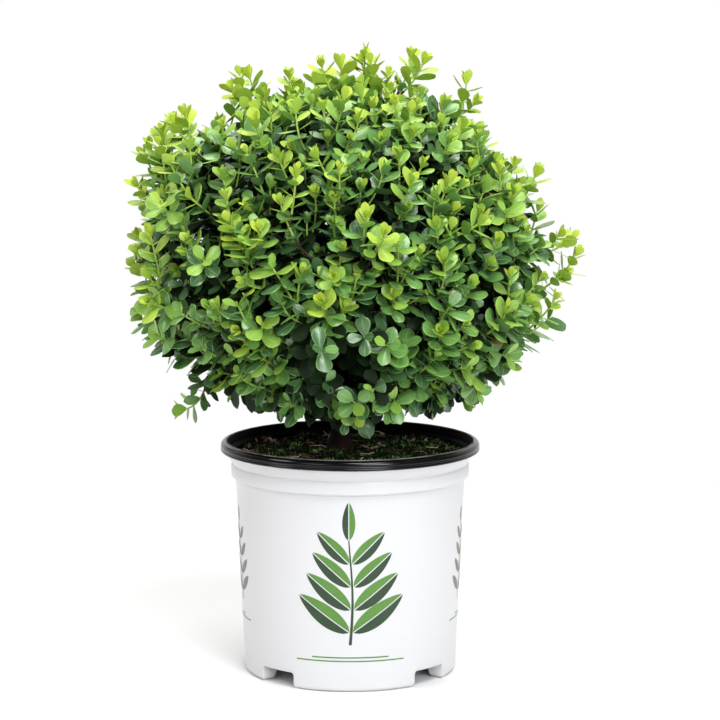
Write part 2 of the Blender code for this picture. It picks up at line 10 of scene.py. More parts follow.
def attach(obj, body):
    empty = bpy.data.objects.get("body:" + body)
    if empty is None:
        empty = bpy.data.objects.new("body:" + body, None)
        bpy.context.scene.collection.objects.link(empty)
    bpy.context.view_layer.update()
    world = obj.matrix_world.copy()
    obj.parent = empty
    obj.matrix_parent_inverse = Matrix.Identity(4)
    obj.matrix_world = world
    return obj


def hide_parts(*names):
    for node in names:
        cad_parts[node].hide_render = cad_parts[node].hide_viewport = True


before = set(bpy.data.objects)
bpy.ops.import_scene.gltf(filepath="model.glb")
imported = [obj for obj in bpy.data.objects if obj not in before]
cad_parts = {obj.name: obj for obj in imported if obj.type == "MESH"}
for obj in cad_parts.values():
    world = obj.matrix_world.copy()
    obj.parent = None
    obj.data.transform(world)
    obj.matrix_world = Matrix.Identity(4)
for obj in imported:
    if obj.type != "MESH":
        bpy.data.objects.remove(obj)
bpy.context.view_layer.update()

mm = 0.001
up = Vector((0.0, 0.0, 1.0))
fullTurn = 2 * math.pi


def facing(bearing, elevation=0.0):  # 0 is the front, 90 the right
    b, e = math.radians(bearing), math.radians(elevation)
    return Vector((math.sin(b) * math.cos(e), -math.cos(b) * math.cos(e), math.sin(e)))


def across(direction):  # two unit vectors square to a direction and to each other
    side = direction.cross(up)
    if side.length < 0.05:
        side = direction.cross(Vector((1.0, 0.0, 0.0)))
    side.normalize()
    return side, side.cross(direction).normalized()


def bend(start, control, end, steps):
    shares = [i / steps for i in range(steps + 1)]
    return [start * (1 - t) ** 2 + control * 2 * t * (1 - t) + end * t**2 for t in shares]


def startWith(primitive, **values):  # a new object, selected alone
    bpy.ops.object.select_all(action="DESELECT")
    primitive(**values)
    return bpy.context.object


def selectOnly(*pieces):  # the first is the active one
    bpy.ops.object.select_all(action="DESELECT")
    for piece in pieces:
        piece.select_set(True)
    bpy.context.view_layer.objects.active = pieces[0]


def editAll():
    bpy.ops.object.mode_set(mode="EDIT")
    bpy.ops.mesh.select_all(action="SELECT")


def leaveEdit(outwards=False):
    if outwards:
        bpy.ops.mesh.select_all(action="SELECT")
        bpy.ops.mesh.normals_make_consistent(inside=False)
    bpy.ops.object.mode_set(mode="OBJECT")


def applyModifier(piece, kind, name, **values):
    selectOnly(piece)
    modifier = piece.modifiers.new(name, kind)
    for key, value in values.items():
        setattr(modifier, key, value)
    bpy.ops.object.modifier_apply(modifier=modifier.name)


def shadeByAngle(piece, angle):
    selectOnly(piece)
    bpy.ops.object.shade_smooth_by_angle(angle=math.radians(angle))


def finishPiece(piece, nodes=()):
    for node in nodes:
        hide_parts(node)
    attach(piece, "root")


def addNode(tree, kind, values=None, **settings):
    node = tree.nodes.new("ShaderNode" + kind)
    for key, value in settings.items():
        setattr(node, key, value)
    for key, value in (values or {}).items():
        node.inputs[key].default_value = value
    return node


def wire(tree, *links):  # each from a node's output to a node's input
    for source, output, target, entry in links:
        tree.links.new(source.outputs[output], target.inputs[entry])


view = {
    "place": (0.0, -2.116, 0.556),
    "tilt": 82.45,  # degrees up from straight down
    "turn": -0.237,
    "lens": 121.0,
}

studio = {
    "floorRadius": 0.9,
    "floorDrop": 0.2 * mm,
    "floorColour": (0.80, 0.80, 0.80, 1.0),
    "floorRoughness": 0.9,
    # light from the room and from the paper behind: as seen in reflections, and as soft light
    "room": (0.13, 0.40),
    "paper": (0.9, 0.75),
    "paperEdge": (0.15, 0.7),
    # name: place, aims at, size, watts, colour
    "lamps": {
        "key": ((0.6, -1.65, 2.85), (0.0, 0.0, 0.34), 1.4, 62.0, (1.0, 0.99, 0.965)),
        "window": ((1.1, -2.8, 1.45), (0.0, 0.0, 0.30), 1.5, 40.0, (0.94, 0.97, 1.0)),
        "opposite": ((-1.5, -2.4, 1.3), (0.0, 0.0, 0.34), 1.2, 9.0, (0.95, 0.98, 1.0)),
        "fill": ((1.3, -2.3, 0.8), (0.0, 0.0, 0.25), 0.8, 12.0, (0.88, 0.95, 1.0)),
        "left": ((-2.2, -0.6, 2.2), (0.0, 0.0, 0.38), 1.0, 21.0, (1.0, 1.0, 0.97)),
        "top": ((0.0, 0.7, 2.5), (0.0, 0.0, 0.42), 1.8, 41.0, (1.0, 1.0, 0.97)),
    },
}


def makeCamera():
    data = bpy.data.cameras.new("view")
    data.lens = view["lens"]
    camera = bpy.data.objects.new("view", data)
    camera.location = view["place"]
    camera.rotation_euler = (math.radians(view["tilt"]), 0.0, math.radians(view["turn"]))
    bpy.context.scene.collection.objects.link(camera)
    bpy.context.scene.camera = camera


# white where it is looked at, brighter behind than around
def makeRoom():
    air = bpy.data.worlds.new("white room")
    air.use_nodes = True
    tree = air.node_tree
    background = tree.nodes["Background"]
    background.inputs["Color"].default_value = (1.0, 1.0, 1.0, 1.0)
    low, high = studio["paperEdge"]
    seen = addNode(tree, "LightPath")
    where = addNode(tree, "TexCoord")
    split = addNode(tree, "SeparateXYZ")
    behind = addNode(tree, "MapRange", {"From Min": low, "From Max": high})
    lit = []
    for mirrored, soft in (studio["room"], studio["paper"]):
        lit.append(addNode(tree, "Mix", {"A": soft, "B": mirrored}))
        wire(tree, (seen, "Is Glossy Ray", lit[-1], "Factor"))
    around = addNode(tree, "Mix")
    shown = addNode(tree, "Mix", {"B": 1.0})
    wire(
        tree,
        (where, "Generated", split, "Vector"),
        (split, "Y", behind, "Value"),
        (behind, "Result", around, "Factor"),
        (lit[0], "Result", around, "A"),
        (lit[1], "Result", around, "B"),
        (around, "Result", shown, "A"),
        (seen, "Is Camera Ray", shown, "Factor"),
        (shown, "Result", background, "Strength"),
    )
    bpy.context.scene.world = air


def makeLamps():
    for name, (place, target, size, watts, colour) in studio["lamps"].items():
        data = bpy.data.lights.new(name, "AREA")
        data.shape = "DISK"
        data.size = size
        data.energy = watts
        data.color = colour
        lamp = bpy.data.objects.new(name, data)
        lamp.location = place
        aim = Vector(target) - Vector(place)
        lamp.rotation_euler = aim.to_track_quat("-Z", "Y").to_euler()
        bpy.context.scene.collection.objects.link(lamp)


def makeFloor():
    floor = startWith(
        bpy.ops.mesh.primitive_circle_add,
        vertices=96,
        radius=studio["floorRadius"],
        fill_type="NGON",
        location=(0.0, 0.0, -studio["floorDrop"]),
    )
    floor.name = "floor"
    paint = bpy.data.materials.new("pale floor")
    paint.use_nodes = True
    shader = paint.node_tree.nodes["Principled BSDF"]
    shader.inputs["Base Color"].default_value = studio["floorColour"]
    shader.inputs["Roughness"].default_value = studio["floorRoughness"]
    floor.data.materials.append(paint)


bpy.context.scene.view_settings.view_transform = "Standard"
makeCamera()
makeRoom()
makeLamps()
makeFloor()
print("camera, floor and light are up")


def newGroup(name, inputs, outputs):
    group = bpy.data.node_groups.new(name, "ShaderNodeTree")
    for label, kind, value in inputs:
        socket = group.interface.new_socket(label, in_out="INPUT", socket_type="NodeSocket" + kind)
        if value is not None:
            socket.default_value = value
    for label, kind in outputs:
        group.interface.new_socket(label, in_out="OUTPUT", socket_type="NodeSocket" + kind)
    return group, group.nodes.new("NodeGroupInput"), group.nodes.new("NodeGroupOutput")


# two colours in soft patches with finer specks over them
def mottleGroup():
    group, start, end = newGroup(
        "mottle",
        (
            ("Vector", "Vector", None),
            ("Scale", "Float", 60.0),
            ("Balance", "Float", 0.5),
            ("Spread", "Float", 5.0),
            ("Main", "Color", (0.5, 0.5, 0.5, 1.0)),
            ("Other", "Color", (0.3, 0.3, 0.3, 1.0)),
        ),
        (("Colour", "Color"), ("Mask", "Float")),
    )
    patches = addNode(group, "TexNoise", {"Detail": 5.0, "Roughness": 0.62})
    shift = addNode(group, "Math", operation="SUBTRACT")
    spread = addNode(group, "Math", {2: 0.5}, operation="MULTIPLY_ADD", use_clamp=True)
    mix = addNode(group, "Mix", data_type="RGBA")
    wire(
        group,
        (start, "Vector", patches, "Vector"),
        (start, "Scale", patches, "Scale"),
        (patches, "Fac", shift, 0),
        (start, "Balance", shift, 1),
        (shift, "Value", spread, 0),
        (start, "Spread", spread, 1),
        (spread, "Value", mix, "Factor"),
        (start, "Main", mix, "A"),
        (start, "Other", mix, "B"),
        (mix, "Result", end, "Colour"),
        (spread, "Value", end, "Mask"),
    )
    return group


# a height made of a coarse and a fine noise
def grainGroup():
    group, start, end = newGroup(
        "grain",
        (("Vector", "Vector", None), ("Scale", "Float", 200.0), ("Fine", "Float", 0.4)),
        (("Height", "Float"),),
    )
    coarse = addNode(group, "TexNoise", {"Detail": 3.0})
    fine = addNode(group, "TexNoise", {"Detail": 2.0})
    finer = addNode(group, "Math", {1: 4.3}, operation="MULTIPLY")
    join = addNode(group, "Math", operation="MULTIPLY_ADD")
    wire(
        group,
        (start, "Vector", coarse, "Vector"),
        (start, "Vector", fine, "Vector"),
        (start, "Scale", coarse, "Scale"),
        (start, "Scale", finer, 0),
        (finer, "Value", fine, "Scale"),
        (fine, "Fac", join, 0),
        (start, "Fine", join, 1),
        (coarse, "Fac", join, 2),
        (join, "Value", end, "Height"),
    )
    return group


# side veins that slant out from a leaf's middle line, read from its own map
def veinGroup():
    group, start, end = newGroup(
        "veins",
        (("Map", "Vector", None), ("Count", "Float", 7.0)),
        (("Height", "Float"),),
    )
    split = addNode(group, "SeparateXYZ")
    centred = addNode(group, "Math", {1: 0.5}, operation="SUBTRACT")
    outwards = addNode(group, "Math", operation="ABSOLUTE")
    slant = addNode(group, "Math", {1: -0.7}, operation="MULTIPLY_ADD")
    turns = addNode(group, "Math", operation="MULTIPLY")
    wave = addNode(group, "Math", {1: 1.0}, operation="PINGPONG")
    wire(
        group,
        (start, "Map", split, "Vector"),
        (split, "X", centred, 0),
        (centred, "Value", outwards, 0),
        (outwards, "Value", slant, 0),
        (split, "Y", slant, 2),
        (slant, "Value", turns, 0),
        (start, "Count", turns, 1),
        (turns, "Value", wave, 0),
        (wave, "Value", end, "Height"),
    )
    return group


effects = {"mottle": mottleGroup(), "grain": grainGroup(), "veins": veinGroup()}


def newMaterial(name):
    made = bpy.data.materials.new(name)
    made.use_nodes = True
    return made, made.node_tree, made.node_tree.nodes["Principled BSDF"]


def placeEffect(tree, name, values):
    node = tree.nodes.new("ShaderNodeGroup")
    node.node_tree = effects[name]
    for key, value in values.items():
        node.inputs[key].default_value = value
    return node


def addRelief(tree, shader, effect, strength, depth):
    bump = addNode(tree, "Bump", {"Strength": strength, "Distance": depth})
    wire(tree, (effect, "Height", bump, "Height"), (bump, "Normal", shader, "Normal"))


# a finish of two mottled colours, given with its patches, grain, relief, depth and roughness
def mottledFinish(name, main, other, **given):
    look = {"stretch": (1.0, 1.0, 1.0), "balance": 0.5, "spread": 5.0, "fine": 0.4, "shine": 0.5}
    look.update(given)
    made, tree, shader = newMaterial(name)
    shader.inputs["Specular IOR Level"].default_value = look["shine"]
    where = addNode(tree, "TexCoord")
    mapping = addNode(tree, "Mapping", {"Scale": look["stretch"]})
    mottle = placeEffect(
        tree,
        "mottle",
        {
            "Scale": look["patches"],
            "Balance": look["balance"],
            "Spread": look["spread"],
            "Main": (*main, 1.0),
            "Other": (*other, 1.0),
        },
    )
    grain = placeEffect(tree, "grain", {"Scale": look["grain"], "Fine": look["fine"]})
    addRelief(tree, shader, grain, look["relief"], look["depth"] * mm)
    low, high = look["roughness"]
    rough = addNode(tree, "MapRange", {"To Min": low, "To Max": high})
    wire(
        tree,
        (where, "Object", mapping, "Vector"),
        (mapping, "Vector", mottle, "Vector"),
        (mottle, "Colour", shader, "Base Color"),
        (mapping, "Vector", grain, "Vector"),
        (mottle, "Mask", rough, "Value"),
        (rough, "Result", shader, "Roughness"),
    )
    return made


# points, corners and slots gathered for one joined mesh
class Batch:
    def __init__(self):
        self.points, self.corners, self.sizes, self.slots, self.maps = [], [], [], [], []
        self.count = 0

    def add(self, points, corners, sizes, slots, maps=None):
        self.points.append(points)
        self.corners.append(np.asarray(corners) + self.count)
        self.sizes.append(sizes)
        self.slots.append(np.broadcast_to(slots, len(sizes)))
        if maps is not None:
            self.maps.append(maps)
        self.count += len(points)

    def addTube(self, path, radii, sides, slot):
        last = len(path) - 1
        side, _ = across((path[1] - path[0]).normalized())
        ring = []
        for i, point in enumerate(path):
            along = (path[min(i + 1, last)] - path[max(i - 1, 0)]).normalized()
            side = (side - along * side.dot(along)).normalized()
            other = along.cross(side)
            radius = radii[0] + (radii[1] - radii[0]) * i / last
            for k in range(sides):
                a = fullTurn * k / sides
                ring.append(point + (side * math.cos(a) + other * math.sin(a)) * radius)
        corners = []
        for i in range(last):
            for k in range(sides):
                a, b = i * sides + k, i * sides + (k + 1) % sides
                corners += [a, b, b + sides, a + sides]
        corners += list(range(sides))[::-1]
        corners += [last * sides + k for k in range(sides)]
        self.add(np.array(ring), corners, [4] * (last * sides) + [sides, sides], slot)

    def piece(self, name, finishes, sharp=60.0):
        points = np.concatenate(self.points).astype(np.float32)
        corners = np.concatenate(self.corners).astype(np.int32)
        sizes = np.concatenate(self.sizes).astype(np.int32)
        starts = np.concatenate(([0], np.cumsum(sizes)[:-1])).astype(np.int32)
        mesh = bpy.data.meshes.new(name)
        mesh.vertices.add(len(points))
        mesh.vertices.foreach_set("co", points.ravel())
        mesh.loops.add(len(corners))
        mesh.loops.foreach_set("vertex_index", corners)
        mesh.polygons.add(len(sizes))
        mesh.polygons.foreach_set("loop_start", starts)
        mesh.polygons.foreach_set("material_index", np.concatenate(self.slots).astype(np.int32))
        mesh.update(calc_edges=True)
        if self.maps:
            layer = mesh.uv_layers.new(name="bladeMap")
            layer.data.foreach_set("uv", np.concatenate(self.maps).astype(np.float32).ravel())
        for finish in finishes:
            mesh.materials.append(finish)
        mesh.shade_smooth()
        mesh.set_sharp_from_angle(angle=math.radians(sharp))
        piece = bpy.data.objects.new(name, mesh)
        bpy.context.scene.collection.objects.link(piece)
        return piece


pot = {
    "sides": 144,
    "footRadius": 94.0 * mm,
    "corner": 4.0 * mm,
    "wallTop": (101.5 * mm, 171.5 * mm),
    "wallRings": 10,
    "floorRadius": 79.0 * mm,
    "floorHeight": 14.0 * mm,
    "floorTop": 16.0 * mm,
    "wall": 1.6 * mm,
    "notches": 4,
    "notchBearing": 47.5,
    "notchHalf": 11.2,  # degrees
    "notchRound": 3.0 * mm,
    "notchFlare": 4.5 * mm,
    "drain": 6.0 * mm,
    "drainCircle": 66.0 * mm,
    "drainCut": 8.0 * mm,
    "edgeRound": 0.35 * mm,
    # above the wall: step, band, groove and flare, in mm
    "bands": (
        (101.75, 172.2), (102.5, 172.75), (104.2, 173.5), (104.9, 174.2), (105.15, 175.2),
        (105.3, 178.0), (105.35, 181.0), (105.2, 183.4), (104.95, 184.6), (104.45, 185.2),
        (104.4, 185.7), (104.75, 186.3), (105.6, 187.5), (106.8, 189.6), (108.2, 192.2),
        (109.4, 194.3), (110.2, 195.2), (110.3, 195.7), (109.2, 195.8), (106.1, 192.4),
        (103.6, 188.6), (103.0, 186.0), (103.6, 181.0), (103.4, 176.0),
    ),
}


def arc(centreR, centreZ, radiusR, radiusZ, start, end, steps):
    angles = [math.radians(start + (end - start) * i / steps) for i in range(steps + 1)]
    return [(centreR + radiusR * math.cos(a), centreZ + radiusZ * math.sin(a)) for a in angles]


def selectPlaces(test):  # vertices of the mesh in edit mode, and what lies between them
    bpy.ops.mesh.select_all(action="DESELECT")
    mesh = bpy.context.edit_object.data
    bm = bmesh.from_edit_mesh(mesh)
    for vert in bm.verts:
        if test(vert.co):
            vert.select_set(True)
    bm.select_flush(True)
    bmesh.update_edit_mesh(mesh)


# a circle drawn up an outline of (radius, height), ring by ring
def turnedPiece(name, outline, sides, ends="faces"):
    radius, height = outline[0]
    piece = startWith(
        bpy.ops.mesh.primitive_circle_add,
        vertices=sides,
        radius=radius,
        location=(0.0, 0.0, height),
    )
    piece.name = name
    piece.data.name = name
    bpy.ops.object.transform_apply(location=True, rotation=True, scale=True)
    editAll()
    for (r0, z0), (r1, z1) in zip(outline, outline[1:]):
        bpy.ops.mesh.extrude_region_move(TRANSFORM_OT_translate={"value": (0.0, 0.0, z1 - z0)})
        bpy.ops.transform.resize(value=(r1 / r0, r1 / r0, 1.0), center_override=(0.0, 0.0, z1))
    if ends == "ring":  # the outline comes back to its start
        bpy.ops.mesh.select_all(action="SELECT")
        bpy.ops.mesh.remove_doubles(threshold=0.001 * mm)
    else:
        bpy.ops.mesh.edge_face_add()
        selectPlaces(lambda co: abs(co.z - height) < 1e-6 and abs(co.xy.length - radius) < 1e-6)
        bpy.ops.mesh.edge_face_add()
    leaveEdit(outwards=True)
    return piece


def wallRadius(height):
    share = (height - pot["corner"]) / (pot["wallTop"][1] - pot["corner"])
    return pot["footRadius"] + (pot["wallTop"][0] - pot["footRadius"]) * share


def potOutline():
    corner, foot, high = pot["corner"], pot["footRadius"], pot["floorHeight"]
    land = foot - 2 * corner
    outline = arc(land, high, land - pot["floorRadius"], high, 180, 270, 6)
    outline += arc(foot - corner, corner, corner, corner, -90, 0, 6)
    top, rings = pot["wallTop"][1], pot["wallRings"]
    heights = [corner + (top - corner) * i / rings for i in range(1, rings + 1)]
    outline += [(wallRadius(height), height) for height in heights]
    outline += [(r * mm, z * mm) for r, z in pot["bands"]]
    for height in (top, 0.5 * top, pot["floorTop"]):
        outline.append((wallRadius(height) - pot["wall"], height))
    return outline


# a circle's points moved on to an outline in x and z, filled and drawn out along y
def outlinedBlock(outline, nearY, farY):
    block = startWith(bpy.ops.mesh.primitive_circle_add, vertices=len(outline), radius=1.0)
    for vert, (x, z) in zip(block.data.vertices, outline):
        vert.co = (x, nearY, z)
    editAll()
    bpy.ops.mesh.edge_face_add()
    bpy.ops.mesh.extrude_region_move(TRANSFORM_OT_translate={"value": (0.0, farY - nearY, 0.0)})
    leaveEdit(outwards=True)
    return block


# narrower towards the middle of the pot, rounded above and flared at the floor
def notchCutter():
    near, far = pot["floorRadius"] - pot["corner"], pot["footRadius"] + 2 * pot["corner"]
    half = far * math.tan(math.radians(pot["notchHalf"]))
    r, flare, high = pot["notchRound"], pot["notchFlare"], pot["floorHeight"] - 0.02 * mm
    right = [(half + flare, -flare), (half + flare, 0.0)]
    right += arc(half + flare, flare, flare, flare, 270, 180, 6)[1:]
    right += arc(half - r, high - r, r, r, 0, 90, 5)
    outline = right + [(-x, z) for x, z in right[::-1]]
    cutter = outlinedBlock(outline, -far, -near)
    bpy.ops.object.mode_set(mode="EDIT")
    selectPlaces(lambda co: co.y > -(near + far) / 2)
    bpy.ops.transform.resize(value=(near / far, 1.0, 1.0), center_override=(0.0, 0.0, 0.0))
    leaveEdit()
    return cutter


def drainCutter():
    cutter = startWith(
        bpy.ops.mesh.primitive_cylinder_add,
        vertices=32,
        radius=pot["drain"],
        depth=pot["drainCut"],
        location=(0.0, -pot["drainCircle"], pot["floorTop"]),
    )
    bpy.ops.object.transform_apply(location=True, rotation=True, scale=True)
    return cutter


def cutRound(piece, cutter):  # the same cut at each foot notch's bearing
    for i in range(pot["notches"]):
        turn = math.radians(pot["notchBearing"] + 360.0 * i / pot["notches"])
        copy = bpy.data.objects.new("cutter", cutter.data.copy())
        copy.data.transform(Matrix.Rotation(turn, 4, "Z"))
        bpy.context.scene.collection.objects.link(copy)
        applyModifier(piece, "BOOLEAN", "cut", operation="DIFFERENCE", solver="EXACT", object=copy)
        bpy.data.objects.remove(copy)
    bpy.data.objects.remove(cutter)


def makePot():
    shell = turnedPiece("pot_shell", potOutline(), pot["sides"])
    cutRound(shell, notchCutter())
    cutRound(shell, drainCutter())
    applyModifier(
        shell, "BEVEL", "softened cuts", width=pot["edgeRound"], segments=2,
        limit_method="ANGLE", angle_limit=math.radians(50.0),
    )
    shadeByAngle(shell, 32.0)
    shell.data.materials.append(
        mottledFinish(
            "white plastic", (0.625, 0.62, 0.635), (0.61, 0.605, 0.62), patches=6.0, spread=1.6,
            grain=260.0, relief=0.04, depth=0.05, roughness=(0.30, 0.34),
        )
    )
    finishPiece(shell, ["pot"])


# printed sprigs on the wall: a stem and pairs of two-toned leaves, over two thin rules
sprigs = {
    "lift": 0.14 * mm,
    "inkDepth": 0.1 * mm,
    "leafWidth": 0.155,
    "sway": 2.0 * mm,
    "ruleSteps": (0.0, 3.2),  # in mm: where the two rules lie, and how thick one is
    "rule": 1.1,
    "inks": {
        "leaf ink": ((0.095, 0.235, 0.035), (0.075, 0.195, 0.030)),
        "dark ink": ((0.022, 0.055, 0.020), (0.016, 0.040, 0.016)),
        "grey ink": ((0.17, 0.14, 0.125), (0.13, 0.11, 0.10)),
        "teal ink": ((0.03, 0.20, 0.16), (0.025, 0.16, 0.13)),
    },
    # all in mm and degrees: foot, height, pairs, leaf length, slant, stem width,
    # then the rules' height and length, and the inks of the two leaf halves, stem and rules
    "large": (42.0, 92.0, 4, 57.0, 56.0, 2.6, 27.0, 96.0,
              ("leaf ink", "dark ink", "dark ink", "leaf ink")),
    "small": (66.0, 70.0, 4, 24.0, 50.0, 1.0, 50.0, 40.0,
              ("grey ink", "grey ink", "grey ink", "teal ink")),
    # bearing and design
    "places": {
        "sprig_front": (0.0, "large"),
        "sprig_left": (-77.0, "small"),
        "sprig_right": (77.0, "small"),
    },
}


# a flat grid whose points are moved on to the wall by place(u, v), both from 0 to 1
def printedPatch(columns, rows, place, bearing, ink):
    patch = startWith(
        bpy.ops.mesh.primitive_grid_add, x_subdivisions=columns, y_subdivisions=rows, size=1.0
    )
    for vert in patch.data.vertices:
        x, z = place(vert.co.x + 0.5, vert.co.y + 0.5)
        radius = wallRadius(z) + sprigs["lift"]
        turn = x / radius + math.radians(bearing)
        vert.co = (radius * math.sin(turn), -radius * math.cos(turn), z)
    patch.data.materials.append(ink)
    return patch


def sprigPatches(bearing, design, inks):
    foot, height, pairs, length, slant, width, ruleZ, ruleLength, names = design
    upperInk, lowerInk, stemInk, ruleInk = [inks[name] for name in names]
    foot, height, length, width = foot * mm, height * mm, length * mm, width * mm

    def stemX(share):
        return sprigs["sway"] * math.sin(share * math.pi * 1.2)

    def stem(u, v):
        return stemX(v) + (u - 0.5) * width * (1.0 - 0.6 * v), foot + height * v

    yield printedPatch(1, 24, stem, bearing, stemInk)
    for step in sprigs["ruleSteps"]:

        def rule(u, v):
            z = ruleZ + step + v * sprigs["rule"]
            return (u - 0.5) * (ruleLength - 9.0 * step) * mm, z * mm

        yield printedPatch(36, 1, rule, bearing, ruleInk)
    places = [((i + 0.5) / (pairs + 0.6), side) for i in range(pairs) for side in (-1.0, 1.0)]
    places.append((1.0, 0.0))
    for share, side in places:
        size = length * (1.0 - 0.42 * share)
        tilt = math.radians((slant - 14.0 * share) * side)
        for half, ink in ((-1.0, lowerInk), (1.0, upperInk)):
            half *= -side or 1.0

            def blade(u, v):
                reach = sprigs["leafWidth"] * size * math.sin(math.pi * v**0.85) ** 0.75 * u
                out = half * (0.18 * width + reach)
                along = 2.0 * mm * abs(side) + size * v
                x = stemX(share) + along * math.sin(tilt) + out * math.cos(tilt)
                return x, foot + height * share + along * math.cos(tilt) - out * math.sin(tilt)

            yield printedPatch(4, 14, blade, bearing, ink)


def makeSprig(name, bearing, design, inks):
    selectOnly(*sprigPatches(bearing, design, inks))
    bpy.ops.object.join()
    piece = bpy.context.object
    piece.name = name
    piece.data.name = name
    bm = bmesh.new()
    bm.from_mesh(piece.data)
    bmesh.ops.remove_doubles(bm, verts=bm.verts, dist=0.002 * mm)
    bmesh.ops.dissolve_degenerate(bm, edges=bm.edges, dist=0.002 * mm)
    for face in bm.faces:
        middle = face.calc_center_median()
        if face.normal.dot(Vector((middle.x, middle.y, 0.0))) < 0.0:
            face.normal_flip()
    bm.to_mesh(piece.data)
    bm.free()
    applyModifier(piece, "SOLIDIFY", "ink", thickness=sprigs["inkDepth"], offset=-1.0)
    finishPiece(piece)


def makePrint():
    inks = {}
    for name, (main, other) in sprigs["inks"].items():
        inks[name] = mottledFinish(
            name, main, other, patches=60.0, spread=2.0,
            grain=1500.0, relief=0.1, depth=0.03, roughness=(0.34, 0.42),
        )
    for name, (bearing, size) in sprigs["places"].items():
        makeSprig(name, bearing, sprigs[size], inks)


makePot()
makePrint()
print("pot and its print are made")


rim = {
    "sides": 160,
    "rollR": 110.75,  # in mm: middle of the roll, its half width and its height
    "half": 3.75,
    "rollZ": 200.75,
    "lining": (102.0, 103.0, 177.0, 193.0),  # inner and outer radius, foot and shoulder
    "lipAngle": 104.0,  # where the lip with its painted highlight starts round the roll
}


def rimOutline():
    r, half, z = rim["rollR"], rim["half"], rim["rollZ"]
    inside, outside, foot, shoulder = rim["lining"]
    outline = [(r + 1.6, 196.0), (r + half - 0.7, 196.1), (r + half - 0.15, 196.6)]
    outline += [(r + half, 197.3), (r + half - 0.10, 197.9), (r + half - 0.45, 198.25)]
    outline += [(r + half - 0.12, 198.65), (r + half, 199.2), (r + half - 0.30, 199.6)]
    outline += [(r + half - 0.05, 200.0)]
    outline += arc(r, z, half, half, 0, rim["lipAngle"], 14)
    lipR, lipZ = outline[-1]
    outline += [(lipR - 0.1, lipZ + 0.55), (lipR - 0.35, lipZ + 0.7), (lipR - 0.8, lipZ + 0.6)]
    outline += [(lipR - 0.95, lipZ - 0.2), (r - half - 0.1, z + 0.4), (r - half - 0.6, z - 2.8)]
    outline += [(inside + 0.6, 196.4), (inside, 195.2), (inside, foot), (outside, foot)]
    outline += [(outside, shoulder), (outside + 1.2, 195.0), (r - half + 1.6, 196.2)]
    outline += [(r + 1.6, 196.0)]
    return [(radius * mm, height * mm) for radius, height in outline]


def makeRim():
    edge = turnedPiece("rolled_rim", rimOutline(), rim["sides"], ends="ring")
    shadeByAngle(edge, 50.0)
    edge.data.materials.append(
        mottledFinish(
            "black plastic", (0.0025, 0.0025, 0.0035), (0.006, 0.0055, 0.0055), patches=40.0,
            balance=0.62, grain=500.0, relief=0.05, depth=0.05, roughness=(0.14, 0.22), shine=0.3,
        )
    )
    # a pale painted highlight along the inner lip of the roll
    edge.data.materials.append(
        mottledFinish(
            "painted lip highlight", (0.17, 0.15, 0.14), (0.06, 0.053, 0.05), patches=130.0,
            grain=900.0, relief=0.3, depth=0.1, roughness=(0.45, 0.6),
        )
    )
    edge.data.materials.append(
        mottledFinish(
            "dull lining", (0.0010, 0.0010, 0.0012), (0.0022, 0.0020, 0.0020), patches=60.0,
            grain=500.0, relief=0.1, depth=0.05, roughness=(0.5, 0.6), shine=0.02,
        )
    )
    lipAngle = math.radians(rim["lipAngle"])
    lipR = (rim["rollR"] + rim["half"] * math.cos(lipAngle)) * mm
    lipZ = (rim["rollZ"] + rim["half"] * math.sin(lipAngle)) * mm
    # the lip's faces get the painted highlight, the inner faces the dull lining
    for face in edge.data.polygons:
        middle = face.center
        if abs(middle.xy.length - lipR + 0.45 * mm) < 0.5 * mm and middle.z > lipZ:
            face.material_index = 1
        elif middle.xy.length < (rim["rollR"] - rim["half"] + 1.3) * mm:
            face.material_index = 2
    finishPiece(edge, ["pot_rim"])


makeRim()
print("rim is made")


mix = {
    "sides": 128,
    "edgeHeight": 193.0 * mm,
    "rise": 3.5 * mm,
    "seat": 27.0 * mm,
    "edgeRadius": 101.7 * mm,
    "rings": 46,
    "lumps": ((42.0, 2.6), (130.0, 1.5), (420.0, 0.8)),  # how many a metre, height in mm
    "litterSeed": 41,
    # how many, half sizes, how far they tip, how high they sit
    "crumbs": (2600, (1.5 * mm, 1.3 * mm, 1.1 * mm), 1.5, 0.2),
    "chips": (330, (4.4 * mm, 1.1 * mm, 0.5 * mm), 0.4, 1.0),
    # how many, height over the mix in mm, radii
    "fibres": (260, (0.3, 1.8), (0.34 * mm, 0.18 * mm)),
    "straws": (18, (1.8, 3.2), (0.42 * mm, 0.26 * mm)),
    "fibreHalf": (3.0, 8.5),  # in mm, as is the bow
    "fibreBow": (0.5, 2.2),
    "mossSeed": 43,
    "mossBlades": 14000,
    "mossLean": 0.55,
    "mossWidth": (0.35, 0.75),  # in mm, as is the length with what a clump adds to it
    "mossLength": ((2.0, 4.0), 2.4),
    "mossTones": (0.30, 1.0),  # where green and bright moss start
    "trunkFoot": Vector((-10.0 * mm, 0.0, 0.0)),
    "trunkClear": 12.5 * mm,
}


def mixHeight(x, y):
    outward = max(0.0, (math.hypot(x, y) - mix["seat"]) / (mix["edgeRadius"] - mix["seat"]))
    spot = Vector((x, y, 0.0))
    lumps = sum(noise.noise(spot * count) * height * mm for count, height in mix["lumps"])
    lumps *= min(1.0, 0.25 + outward * 3)
    return mix["edgeHeight"] + mix["rise"] * (1.0 - outward**2) + lumps


